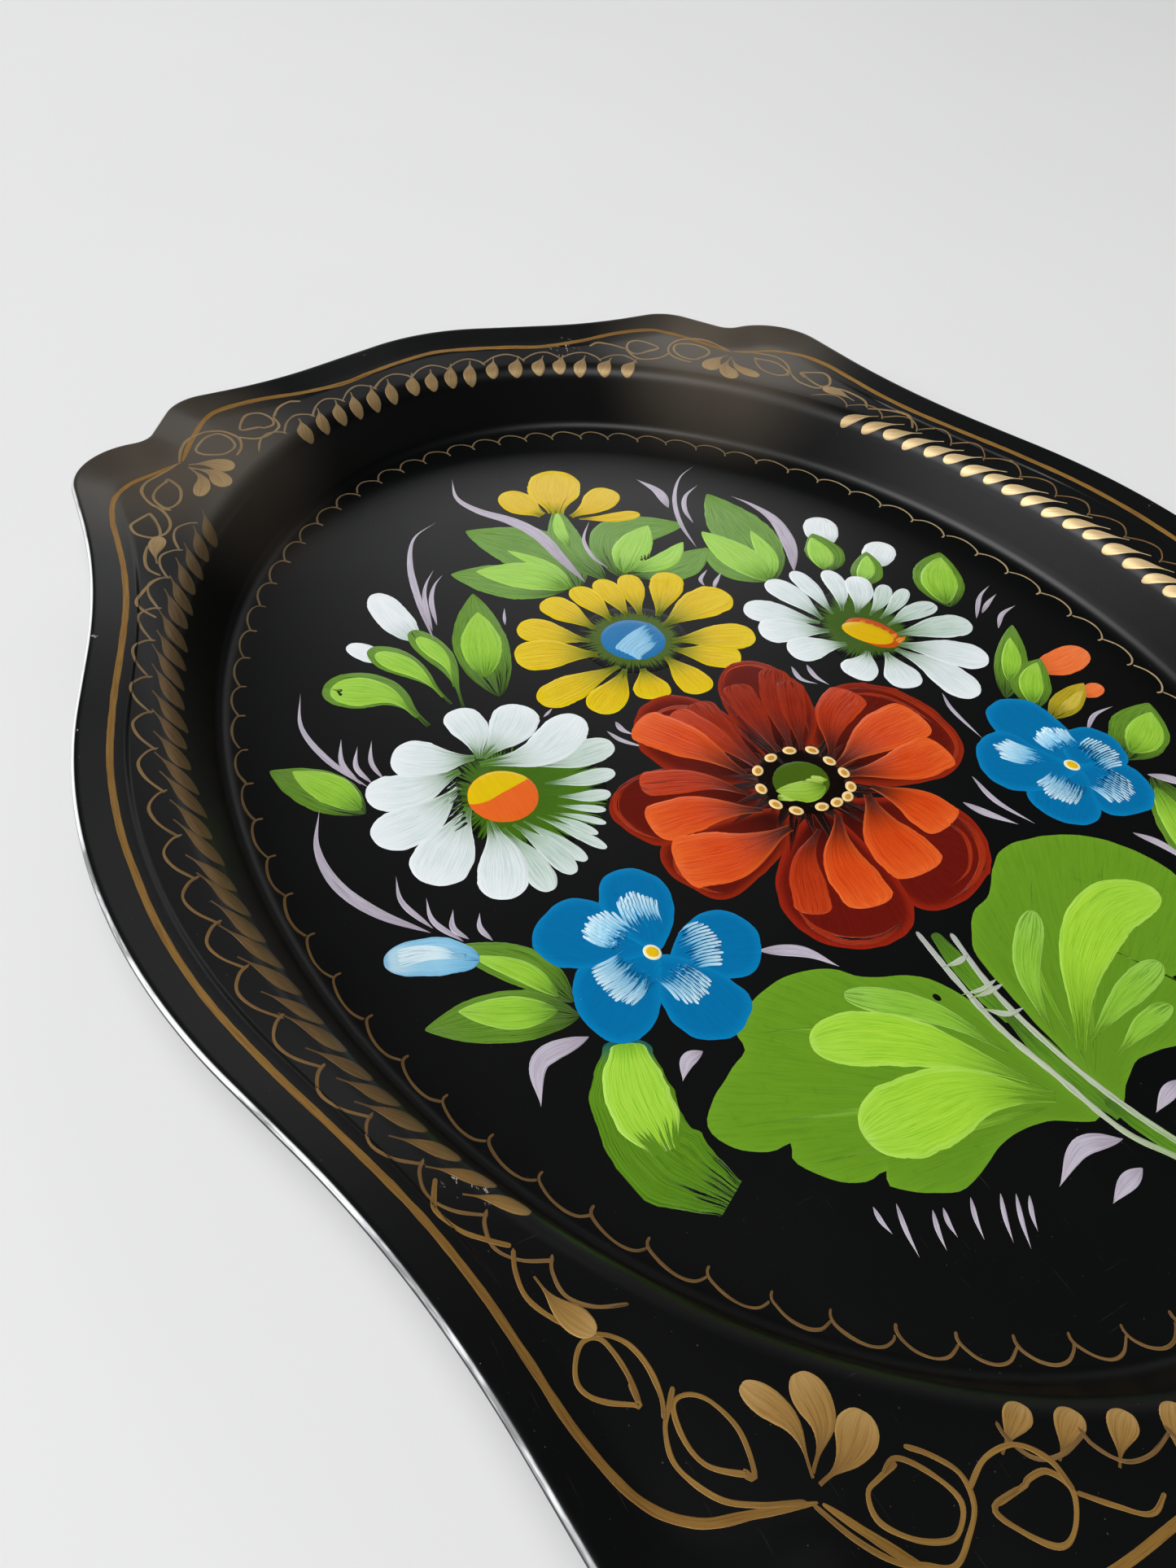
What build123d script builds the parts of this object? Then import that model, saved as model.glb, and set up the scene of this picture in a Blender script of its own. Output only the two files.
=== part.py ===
from build123d import *
from math import atan2, cos, degrees, hypot, radians, sin, tan
import os

os.makedirs("parts", exist_ok=True)

# A figured serving tray: one pressed sheet-steel pan, its edge rolled over an iron wire,
# with the painter's work lying on the lacquer as thin raised films.
# Millimetres. The origin is under the middle of the well, on the face that the tray rests on.
# +X is the long way and +Z is up.

# ---- sheet and wire ----
sheet = 0.7
wire_d = 1.3
wire_r = wire_d / 2
wire_gap = 0.05                  # all round the wire, inside the roll
curl_r = wire_r + wire_gap       # rolled edge, inside
bead_r = curl_r + sheet          # rolled edge, outside

# ---- oval well ----
well_a = 188.5                   # half length of the flat floor
well_b = 142.5                   # half width of the flat floor
foot_r = 5.0                     # bend from floor to wall, painted side
wall_angle = 66.0                # wall against the floor
lip_r = 8.0                      # bend from wall to flange, painted side
flange_angle = 9.0               # slope of the flange where it leaves the lip
flange_z = 22.3                  # painted side of the flange at the end of the lip
bend_spans = 3                   # spans that each bend is lofted in

# ---- figured outline ----
rim_z = 27.6                     # top of the rolled edge
border = 10.5                    # width of the upturned border inside the rolled edge
border_z = 24.3                  # painted side of the flange at the foot of the border

# Straight-sided figure that the outline is rounded from, as x, y and corner radius:
# crown of the end lobe, hollow, shoulder, notch, shoulder, hollow, crown of the side lobe.
# The notch is the pinch on the diagonal.
quarter = [
    (233.4, 0.0, 80.0),
    (214.1, 67.4, 150.0),
    (212.8, 103.9, 18.0),
    (188.5, 119.7, 8.0),
    (188.5, 147.2, 24.0),
    (114.4, 153.7, 280.0),
    (0.0, 193.05, 190.0),
]

# ---- gold lines ----
film = 0.12                      # thickness of a painted stroke
rim_line_inset = 10.8            # middle of the gold line, in from the outer edge
rim_line_w = 1.5
scallop_r = 8.3                  # each arch of the line that edges the floor
scallop_count = 80
scallop_w = 0.7
scallop_gap = 0.3                # from the arches out to the foot of the wall

# ---- bouquet, seen from above ----
# Flowers with one round of petals: middle, count, reach, petal width and turn of the first petal.
blooms = {
    "yellow_aster": ((-52.0, -4.5), 13, 34.0, 12.0, 2.0),
    "upper_daisy": ((-22.0, 68.0), 16, 39.0, 11.0, 8.0),
    "lower_daisy": ((-8.0, -75.5), 16, 38.0, 11.0, 0.0),
    "upper_blue_flower": ((55.0, 82.0), 5, 29.0, 24.0, 18.0),
    "lower_blue_flower": ((56.5, -67.0), 5, 29.0, 24.0, 10.0),
}
bloom_heart = 0.4                # solid middle of a bloom, as a share of its reach
poppy_middle = (24.5, 4.0)
poppy_petals = [(85.0, 57.0, 46.0), (18.0, 57.0, 44.0), (-22.0, 56.0, 42.0), (-70.0, 54.0, 46.0),
                (-105.0, 52.0, 30.0), (-152.0, 50.0, 30.0), (160.0, 54.0, 32.0)]
poppy_heart = 24.0

# Single strokes, each from its root to its tip with its width.
strokes = {
    "side_yellow_flower": [(-126, 8, -157, 20, 22), (-124, 14, -137, 34, 11),
                           (-119, 18, -115, 35, 7), (-130, 6, -149, -6, 13)],
    "upper_white_buds": [(-66, 86, -87, 97, 14), (-52, 98, -62, 108, 12)],
    "lower_white_buds": [(-83, -69, -110, -71, 12), (-76, -82, -88, -88, 7)],
    "orange_buds": [(18, 106, 16, 128, 12), (32, 111, 31, 119, 7)],
    "light_blue_bud": [(40, -106, 30, -126, 12)],
    "paired_big_leaf": [(142, 6, 78, 66, 42), (142, 6, 76, 30, 34), (142, -4, 84, -54, 36),
                        (142, -4, 108, -82, 42)],
    "upper_leaves": [(-62, 56, -115, 66, 22), (-54, 82, -76, 92, 13), (-46, 86, -60, 98, 10),
                     (-27, 102, -48, 121, 17), (16, 92, -4, 115, 9), (30, 92, 15, 110, 12),
                     (38, 94, 30, 112, 9), (60, 100, 47, 124, 17), (72, 104, 112, 88, 21)],
    "middle_leaves": [(-86, 14, -108, 42, 22), (-84, 14, -84, 43, 13), (-88, 1, -130, 10, 9),
                      (-86, -12, -130, -26, 24), (-90, -12, -108, -42, 22)],
    "lower_leaves": [(-50, -57, -94, -44, 17), (-48, -68, -86, -67, 8), (-52, -72, -82, -84, 10),
                     (-44, -82, -70, -104, 15), (-20, -114, -45, -128, 14),
                     (60, -94, 36, -108, 13), (64, -95, 53, -123, 14), (75, -84, 118, -96, 20)],
    "lilac_curls": [(-64, 66, -112, 76, 5), (-84, 42, -137, 72, 3), (-105, 50, -126, 67, 3),
                    (-90, -4, -164, -19, 5), (-80, -64, -142, -38, 2.4), (-30, -108, -72, -114, 2),
                    (27, -114, -24, -122, 3), (66, -27, 80, -27, 3), (12, 68, 34, 66, 2),
                    (70, -92, 81, -110, 6), (86, -71, 90, -79, 4), (148, 0, 150, -20, 5),
                    (156, -2, 158, -13, 4)],
}


def figure_corners():
    """Corner points and radii of the whole outline, counter-clockwise from +X."""
    upper = quarter + [(-x, y, r) for x, y, r in reversed(quarter[:-1])]
    lower = [(x, -y, r) for x, y, r in reversed(upper[1:-1])]
    corners = upper + lower
    return [Vector(x, y) for x, y, r in corners], [r for x, y, r in corners]


def figure_arcs(inset):
    """First, middle and last point of each rounded corner, for the outline moved in by inset."""
    points, radii = figure_corners()
    count = len(points)
    sides = [(points[(i + 1) % count] - points[i]).normalized() for i in range(count)]
    inward = [Vector(-side.Y, side.X) for side in sides]
    arcs = []
    for i in range(count):
        before = inward[i - 1]
        after = inward[i]
        turn = degrees(atan2(sides[i - 1].cross(sides[i]).Z, sides[i - 1].dot(sides[i])))
        bend = 1 if turn > 0 else -1
        radius = radii[i] - bend * inset
        corner = points[i] + (before + after) * (inset / (1 + before.dot(after)))
        reach = radius * tan(radians(abs(turn) / 2))
        inner = (before + after).normalized() * bend
        crown = corner + inner * (radius / cos(radians(turn / 2)) - radius)
        ends = (corner - sides[i - 1] * reach, crown, corner + sides[i] * reach)
        arcs.append([(point.X, point.Y) for point in ends])
    return arcs


def draw_figure(inset):
    """Draws the outline, moved in by inset, in the active line context."""
    arcs = figure_arcs(inset)
    for i, (start, crown, end) in enumerate(arcs):
        ThreePointArc(start, crown, end)
        Line(end, arcs[(i + 1) % len(arcs)][0])


def draw_oval(a, b, inset):
    """Draws an ellipse in as many spans as the outline has, each facing its own span."""
    ends = []
    for start, crown, end in figure_arcs(inset):
        ends += [start, end]
    turns = [degrees(atan2(y / b, x / a)) for x, y in ends]
    for i, first in enumerate(turns):
        last = turns[(i + 1) % len(turns)]
        if last < first:
            last += 360
        EllipticalCenterArc((0, 0), a, b, start_angle=first, arc_size=last - first)


def wall_profile(under):
    """Distance out from the flat floor and height, up the wall, for the face that lies the
    given depth under the painted side."""
    lip_end = flange_end()
    lip_x = lip_end + lip_r * sin(radians(flange_angle))
    lip_z = flange_z - lip_r * cos(radians(flange_angle))
    profile = []
    for i in range(bend_spans + 1):
        slope = radians(wall_angle * i / bend_spans)
        radius = foot_r + under
        profile.append((radius * sin(slope), sheet + foot_r - radius * cos(slope)))
    for i in range(bend_spans + 1):
        slope = radians(wall_angle + (flange_angle - wall_angle) * i / bend_spans)
        radius = lip_r - under
        profile.append((lip_x - radius * sin(slope), lip_z + radius * cos(slope)))
    return profile


def flange_end():
    """Distance from the flat floor out to where the flange leaves the lip."""
    wall = radians(wall_angle)
    rise_left = flange_z - sheet
    rise_left -= foot_r * (1 - cos(wall))
    rise_left -= lip_r * (cos(radians(flange_angle)) - cos(wall))
    across = foot_r * sin(wall) + lip_r * (sin(wall) - sin(radians(flange_angle)))
    return across + rise_left / tan(wall)


def pan_side(under):
    """Everything above one face of the sheet, as a solid: the painted side with under at 0."""
    profile = wall_profile(under)
    foot = bead_r + border
    with BuildPart() as side:
        for out, height in profile:
            with BuildSketch(Plane.XY.offset(height)):
                with BuildLine():
                    draw_oval(well_a + out, well_b + out, foot)
                make_face()
        loft()
        out, height = profile[-1]
        with BuildSketch(Plane.XY.offset(height)):
            with BuildLine():
                draw_oval(well_a + out, well_b + out, foot)
            make_face()
        with BuildSketch(Plane.XY.offset(border_z - under)):
            with BuildLine():
                draw_figure(foot)
            make_face()
        loft(ruled=True)
    return side.part


def edge_path():
    """Middle of the rolled edge, right round the tray."""
    with BuildLine(Plane.XY.offset(rim_z - bead_r)) as path:
        draw_figure(bead_r)
    return path.wires()[0]


def across(path):
    """Plane square to the path at its start, with X outward and Y up."""
    along = path % 0
    return Plane(origin=path @ 0, x_dir=along.cross(Vector(0, 0, 1)), z_dir=-along)


rolled_path = edge_path()
border_slope = (rim_z - border_z) / border
border_v = bead_r - border * border_slope

# ---- pan: floor, wall and flange pressed from one sheet, with the rolled edge ----
painted_void = pan_side(0)
under_body = pan_side(sheet)
with BuildPart() as tray_pan:
    add(under_body)
    with BuildSketch(Plane.XY.offset(border_z - sheet)):
        with BuildLine():
            draw_figure(bead_r + border)
        make_face()
    extrude(amount=sheet)
    add(painted_void, mode=Mode.SUBTRACT)
    with BuildSketch(across(rolled_path)) as edge_section:
        with BuildLine():
            Line((-border, border_v), (0, bead_r))
            CenterArc((0, 0), bead_r, 90, -270)
            Line((-bead_r, 0), (-curl_r, 0))
            CenterArc((0, 0), curl_r, 180, 270)
            Line((0, curl_r), (-border, border_v - sheet))
            Line((-border, border_v - sheet), (-border, border_v))
        make_face()
    sweep(sections=edge_section.sketch, path=rolled_path)
tray_pan.part.label = "tray_pan"
export_step(tray_pan.part, "parts/tray_pan.step")

# ---- wire inside the rolled edge ----
with BuildPart() as rim_wire:
    with BuildSketch(across(rolled_path)) as wire_section:
        Circle(wire_r)
    sweep(sections=wire_section.sketch, path=rolled_path)
rim_wire.part.label = "rim_wire"
export_step(rim_wire.part, "parts/rim_wire.step")


def keep_film(part, name):
    """Labels a painted film and writes its file."""
    part.label = name
    export_step(part, "parts/" + name + ".step")


def petal(middle, turn, reach, width):
    """One rounded petal from a flower's middle out to its reach."""
    with Locations(middle):
        with PolarLocations(reach / 2, 1, turn):
            Ellipse(reach / 2, width / 2)


def stroke(root_x, root_y, tip_x, tip_y, width):
    """One leaf-shaped brush stroke, pointed at both ends."""
    length = hypot(tip_x - root_x, tip_y - root_y)
    middle = ((root_x + tip_x) / 2, (root_y + tip_y) / 2)
    side = ((root_y - tip_y) / length * width / 2, (tip_x - root_x) / length * width / 2)
    with BuildLine(mode=Mode.PRIVATE) as outline:
        ThreePointArc((root_x, root_y), (middle[0] + side[0], middle[1] + side[1]), (tip_x, tip_y))
        ThreePointArc((tip_x, tip_y), (middle[0] - side[0], middle[1] - side[1]), (root_x, root_y))
    make_face(outline.edges())


floor_top = Plane.XY.offset(sheet)

# ---- gold line along the foot of the border ----
line_z = border_z + (bead_r + border - rim_line_inset) * border_slope
with BuildLine(Plane.XY.offset(line_z)) as line_course:
    draw_figure(rim_line_inset)
line_path = line_course.wires()[0]
half_w = rim_line_w / 2
with BuildPart() as gold_rim_line:
    with BuildSketch(across(line_path)) as line_section:
        with BuildLine():
            Polyline((-half_w, -half_w * border_slope), (half_w, half_w * border_slope),
                     (half_w, half_w * border_slope + film), (-half_w, film - half_w * border_slope),
                     close=True)
        make_face()
    sweep(sections=line_section.sketch, path=line_path)
keep_film(gold_rim_line.part, "gold_rim_line")

# ---- scalloped gold line round the floor ----
arch_a = well_a - scallop_gap - scallop_r
arch_b = well_b - scallop_gap - scallop_r
with BuildLine(mode=Mode.PRIVATE) as arch_course:
    EllipticalCenterArc((0, 0), arch_a, arch_b, start_angle=0, arc_size=360)
oval = arch_course.edges()[0]
step = oval.length / scallop_count
arch_spots = [oval.position_at(i * step, PositionMode.LENGTH) for i in range(scallop_count)]
with BuildPart() as gold_scallop_line:
    with BuildSketch(floor_top):
        Ellipse(arch_a, arch_b)
        with Locations(*[(spot.X, spot.Y) for spot in arch_spots]):
            Circle(scallop_r)
        Ellipse(arch_a - scallop_w, arch_b - scallop_w, mode=Mode.SUBTRACT)
        with Locations(*[(spot.X, spot.Y) for spot in arch_spots]):
            Circle(scallop_r - scallop_w, mode=Mode.SUBTRACT)
    extrude(amount=film)
keep_film(gold_scallop_line.part, "gold_scallop_line")

# ---- the bouquet: each film is cut back round those laid before it ----
laid = []
with BuildPart() as poppy:
    with BuildSketch(floor_top):
        with Locations(poppy_middle):
            Circle(poppy_heart)
        for turn, reach, width in poppy_petals:
            petal(poppy_middle, turn, reach, width)
    extrude(amount=film)
keep_film(poppy.part, "red_poppy")
laid.append(poppy.part)

for name, (middle, count, reach, width, turn) in blooms.items():
    with BuildPart() as bloom:
        with BuildSketch(floor_top):
            with Locations(middle):
                Circle(reach * bloom_heart)
            for i in range(count):
                petal(middle, turn + 360 / count * i, reach, width)
        extrude(amount=film)
        for other in laid:
            add(other, mode=Mode.SUBTRACT)
    keep_film(bloom.part, name)
    laid.append(bloom.part)

for name, group in strokes.items():
    with BuildPart() as painted:
        with BuildSketch(floor_top):
            for one in group:
                stroke(*one)
        extrude(amount=film)
        for other in laid:
            add(other, mode=Mode.SUBTRACT)
    keep_film(painted.part, name)
    laid.append(painted.part)
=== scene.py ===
import random
import bpy
from math import atan2, ceil, cos, degrees, hypot, pi, radians, sin, sqrt, tan
from mathutils import Matrix, Vector, noise
from mathutils.bvhtree import BVHTree


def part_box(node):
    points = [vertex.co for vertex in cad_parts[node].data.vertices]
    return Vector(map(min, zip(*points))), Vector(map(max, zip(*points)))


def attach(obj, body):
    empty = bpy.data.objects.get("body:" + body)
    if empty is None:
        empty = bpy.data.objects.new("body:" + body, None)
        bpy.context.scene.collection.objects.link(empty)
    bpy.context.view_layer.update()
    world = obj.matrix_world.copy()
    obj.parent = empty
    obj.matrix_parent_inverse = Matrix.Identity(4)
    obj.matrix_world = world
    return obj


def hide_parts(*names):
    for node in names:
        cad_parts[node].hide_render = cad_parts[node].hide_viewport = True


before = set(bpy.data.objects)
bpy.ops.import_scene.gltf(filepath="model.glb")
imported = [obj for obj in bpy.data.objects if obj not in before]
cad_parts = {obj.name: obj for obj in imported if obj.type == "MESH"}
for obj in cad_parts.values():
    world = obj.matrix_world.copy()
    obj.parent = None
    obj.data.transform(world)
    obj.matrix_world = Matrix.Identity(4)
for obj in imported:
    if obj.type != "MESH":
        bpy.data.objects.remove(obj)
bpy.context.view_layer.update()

mm = 0.001
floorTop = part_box("red_poppy")[0][2] / mm       # the painted floor, mm above the table
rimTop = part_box("tray_pan")[1][2] / mm
print("frame loaded, floor at", round(floorTop, 2), "rim at", round(rimTop, 2))


# node helpers
def newMaterial(name):
    mat = bpy.data.materials.new(name)
    mat.use_nodes = True
    tree = mat.node_tree
    shader = tree.nodes["Principled BSDF"]
    return mat, tree, shader


def addNode(tree, kind, values=None, **settings):
    node = tree.nodes.new(kind)
    for key, value in settings.items():
        setattr(node, key, value)
    for key, value in (values or {}).items():
        node.inputs[key].default_value = value
    return node


def wire(tree, source, target):
    tree.links.new(source, target)


def addRamp(tree, source, stops, eased=True):
    ramp = addNode(tree, "ShaderNodeValToRGB")
    ramp.color_ramp.interpolation = "EASE" if eased else "LINEAR"
    points = ramp.color_ramp.elements
    while len(points) < len(stops):
        points.new(0.5)
    for point, (place, value) in zip(points, stops):
        point.position = place
        point.color = (value, value, value, 1) if isinstance(value, (int, float)) else (*value, 1)
    wire(tree, source, ramp.inputs["Fac"])
    return ramp.outputs["Color"]


def addMath(tree, operation, first, second, clamp=False):
    node = addNode(tree, "ShaderNodeMath", operation=operation, use_clamp=clamp)
    for socket, value in zip(node.inputs, (first, second)):
        if isinstance(value, (int, float)):
            socket.default_value = value
        else:
            wire(tree, value, socket)
    return node.outputs[0]


def times(tree, first, second):
    return addMath(tree, "MULTIPLY", first, second)


def plus(tree, first, second, clamp=False):
    return addMath(tree, "ADD", first, second, clamp)


def minus(tree, first, second):
    return addMath(tree, "SUBTRACT", first, second)


def attributeOf(tree, name, output="Fac"):
    return addNode(tree, "ShaderNodeAttribute", attribute_name=name).outputs[output]


def distanceTo(tree, place, spot):
    span = addNode(tree, "ShaderNodeVectorMath", {1: spot}, operation="DISTANCE")
    wire(tree, place, span.inputs[0])
    return span.outputs["Value"]


def addBump(tree, shader, relief, strength, distance):
    bump = addNode(tree, "ShaderNodeBump", {"Strength": strength, "Distance": distance})
    wire(tree, relief, bump.inputs["Height"])
    wire(tree, bump.outputs["Normal"], shader.inputs["Normal"])


def mixColour(tree, factor, first, second, blend="MIX"):
    node = addNode(tree, "ShaderNodeMix", data_type="RGBA", blend_type=blend)
    for socket, value in ((node.inputs[0], factor), (node.inputs[6], first), (node.inputs[7], second)):
        if isinstance(value, (int, float)):
            socket.default_value = value
        elif isinstance(value, tuple):
            socket.default_value = (*value, 1)
        else:
            wire(tree, value, socket)
    return node.outputs[2]


def addNoise(tree, vector, scale, detail=4.0, rough=0.55, distortion=0.0):
    node = addNode(tree, "ShaderNodeTexNoise",
                   {"Scale": scale, "Detail": detail, "Roughness": rough, "Distortion": distortion})
    wire(tree, vector, node.inputs["Vector"])
    return node.outputs["Fac"]


def stretched(tree, vector, scale, turn=0.0):
    node = addNode(tree, "ShaderNodeMapping")
    node.inputs["Scale"].default_value = scale
    node.inputs["Rotation"].default_value = (0, 0, turn)
    wire(tree, vector, node.inputs["Vector"])
    return node.outputs["Vector"]


# the outline
pan = {
    "sheet": 0.7, "wellA": 188.5, "wellB": 142.5, "footR": 5.0, "wallAngle": 66.0, "lipR": 8.0,
    "flangeAngle": 9.0, "flangeZ": 22.3, "border": 10.5, "borderZ": 24.3, "beadR": 1.4,
    # x, y and corner radius, from the crown of the end lobe round to the crown of the side lobe
    "quarter": [(233.4, 0.0, 80.0), (214.1, 67.4, 150.0), (212.8, 103.9, 18.0), (188.5, 119.7, 8.0),
                (188.5, 147.2, 24.0), (114.4, 153.7, 280.0), (0.0, 193.05, 190.0)],
    "columnGap": 1.7,      # greatest gap between two columns of the mesh, along the edge
    "columnTurn": 6.0,     # greatest turn between two columns, degrees
    "footCuts": 8, "wallCuts": 6, "lipCuts": 10, "beadCuts": 18, "beadTurn": 255,
    "floorShares": (0.06, 0.3, 0.55, 0.75, 0.88, 0.95, 0.98),
    "flangeShares": (0.15, 0.3, 0.45, 0.6, 0.72, 0.82, 0.9),
    "crease": ((0.9, 0.06), (0.0, 0.17), (-1.1, 0.06)),     # distance in and lift of its three rings
    "creaseSlope": 0.1,
    "borderSteps": (2.6, 4.6, 6.6, 8.4, 9.7),
    "highlightRings": (2, 4),   # first and last ring of the painted highlight line, counted round the bead
}


def outlineSamples():
    # points of the outer edge with their outward normals, counter-clockwise from the +X crown
    quarter = pan["quarter"]
    upper = quarter + [(-x, y, r) for x, y, r in reversed(quarter[:-1])]
    corners = upper + [(x, -y, r) for x, y, r in reversed(upper[1:-1])]
    points = [Vector((x, y)) for x, y, r in corners]
    count = len(points)
    sides = [(points[(i + 1) % count] - points[i]).normalized() for i in range(count)]
    arcs = []
    for i in range(count):
        a, b = sides[i - 1], sides[i]
        turn = atan2(a.x * b.y - a.y * b.x, a.dot(b))
        reach = corners[i][2] * tan(abs(turn) / 2)
        arcs.append((points[i] - a * reach, points[i] + b * reach, turn, corners[i][2], a))
    samples = []
    for i, (start, end, turn, radius, direction) in enumerate(arcs):
        steps = max(ceil(abs(turn) * radius / pan["columnGap"]),
                    ceil(degrees(abs(turn)) / pan["columnTurn"]), 2)
        side = 1 if turn > 0 else -1
        left = Vector((-direction.y, direction.x)) * side
        centre = start + left * radius
        for k in range(steps):
            spin = Matrix.Rotation(turn * k / steps, 2)
            ray = spin @ (start - centre)
            outward = ray.normalized() * side
            samples.append((centre + ray, outward))
        nextStart = arcs[(i + 1) % count][0]
        run = nextStart - end
        steps = max(ceil(run.length / pan["columnGap"]), 1)
        outward = Vector((sides[i].y, -sides[i].x))
        for k in range(steps):
            samples.append((end + run * k / steps, outward))
    return samples


outline = outlineSamples()


def inward(distance):
    # the outline moved in by a distance, one point for each column
    return [point - normal * distance for point, normal in outline]


def ovalRing(out, angles):
    return [Vector(((pan["wellA"] + out) * cos(t), (pan["wellB"] + out) * sin(t))) for t in angles]


def wallProfile(under):
    # distance out from the flat floor and height, from the floor up to the end of the lip
    wall, flange = radians(pan["wallAngle"]), radians(pan["flangeAngle"])
    foot, lip, sheet = pan["footR"], pan["lipR"], pan["sheet"]
    rise = pan["flangeZ"] - sheet - foot * (1 - cos(wall)) - lip * (cos(flange) - cos(wall))
    lipEnd = foot * sin(wall) + lip * (sin(wall) - sin(flange)) + rise / tan(wall)
    lipX, lipZ = lipEnd + lip * sin(flange), pan["flangeZ"] - lip * cos(flange)
    profile = []
    footCuts, wallCuts, lipCuts = pan["footCuts"], pan["wallCuts"], pan["lipCuts"]
    for i in range(footCuts + 1):
        slope = wall * i / footCuts
        profile.append(((foot + under) * sin(slope), sheet + foot - (foot + under) * cos(slope)))
    startX, startZ = profile[-1]
    endX = lipX - (lip - under) * sin(wall)
    endZ = lipZ + (lip - under) * cos(wall)
    for i in range(1, wallCuts):
        profile.append((
            startX + (endX - startX) * i / wallCuts, startZ + (endZ - startZ) * i / wallCuts))
    for i in range(lipCuts + 1):
        slope = wall + (flange - wall) * i / lipCuts
        profile.append((lipX - (lip - under) * sin(slope), lipZ + (lip - under) * cos(slope)))
    return profile


def panRings():
    # every ring of the pan from the middle of the floor, over the edge and back underneath
    footInset = pan["beadR"] + pan["border"]
    footLine = inward(footInset)
    angles = [atan2(p.y / pan["wellB"], p.x / pan["wellA"]) for p in footLine]
    rings = []

    def side(under, sheetDrop):
        found = []
        profile = wallProfile(under)
        for share in pan["floorShares"]:
            found.append([(p.x * share, p.y * share, profile[0][1]) for p in ovalRing(0, angles)])
        for out, height in profile:
            found.append([(p.x, p.y, height) for p in ovalRing(out, angles)])
        out, height = profile[-1]
        lipRing = ovalRing(out, angles)
        borderFoot = pan["borderZ"] - sheetDrop
        for share in pan["flangeShares"]:
            found.append([(a.x + (b.x - a.x) * share, a.y + (b.y - a.y) * share,
                           height + (borderFoot - height) * share)
                          for a, b in zip(lipRing, footLine)])
        rise = (rimTop - pan["borderZ"]) / pan["border"]
        # the crease between flange and border is a soft bend
        for back, lift in pan["crease"]:
            ring = inward(footInset + back)
            slope = rise if back < 0 else pan["creaseSlope"]
            found.append([(p.x, p.y, borderFoot - back * slope + lift) for p in ring])
        for back in pan["borderSteps"]:
            ring = inward(footInset - back)
            found.append([(p.x, p.y, borderFoot + back * rise) for p in ring])
        return found

    rings += side(0.0, 0.0)
    bead = pan["beadR"]
    beadZ = rimTop - bead
    for k in range(pan["beadCuts"] + 1):
        turn = radians(90 - pan["beadTurn"] * k / pan["beadCuts"])
        ring = inward(bead - bead * cos(turn))
        rings.append([(p.x, p.y, beadZ + bead * sin(turn)) for p in ring])
    rings += reversed(side(pan["sheet"], pan["sheet"]))
    return rings


def meshFrom(name, verts, faces):
    mesh = bpy.data.meshes.new(name)
    mesh.from_pydata([Vector(v) * mm for v in verts], [], faces)
    mesh.validate()
    mesh.update()
    mesh.polygons.foreach_set("use_smooth", [True] * len(mesh.polygons))
    piece = bpy.data.objects.new(name, mesh)
    bpy.context.scene.collection.objects.link(piece)
    return piece


def buildPan():
    rings = panRings()
    columns = len(outline)
    verts = [v for ring in rings for v in ring]
    faces = []
    for r in range(len(rings) - 1):
        for c in range(columns):
            d = (c + 1) % columns
            faces.append((
                r * columns + c, (r + 1) * columns + c, (r + 1) * columns + d, r * columns + d))
    top, bottom = len(verts), len(verts) + 1
    verts += [(0, 0, rings[0][0][2]), (0, 0, rings[-1][0][2])]
    last = (len(rings) - 1) * columns
    for c in range(columns):
        d = (c + 1) % columns
        faces.append((top, c, d))
        faces.append((bottom, last + d, last + c))
    piece = meshFrom("pan", verts, faces)
    # the rings that turn round the outside of the rolled edge, where the painted highlight line goes
    beadStart = (len(rings) - pan["beadCuts"] - 1) // 2
    firstLit, lastLit = pan["highlightRings"]
    outside = piece.data.attributes.new("beadOutside", "FLOAT", "POINT")
    outside.data.foreach_set("value", [1.0 if firstLit <= i // columns - beadStart <= lastLit else 0.0
                                       for i in range(len(verts))])
    return piece, rings


panPiece, rings = buildPan()
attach(panPiece, "root")
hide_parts("tray_pan")
panTree = BVHTree.FromPolygons([v.co.copy() for v in panPiece.data.vertices],
                               [tuple(p.vertices) for p in panPiece.data.polygons])
print("pan pressed:", len(panPiece.data.polygons), "faces")


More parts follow.
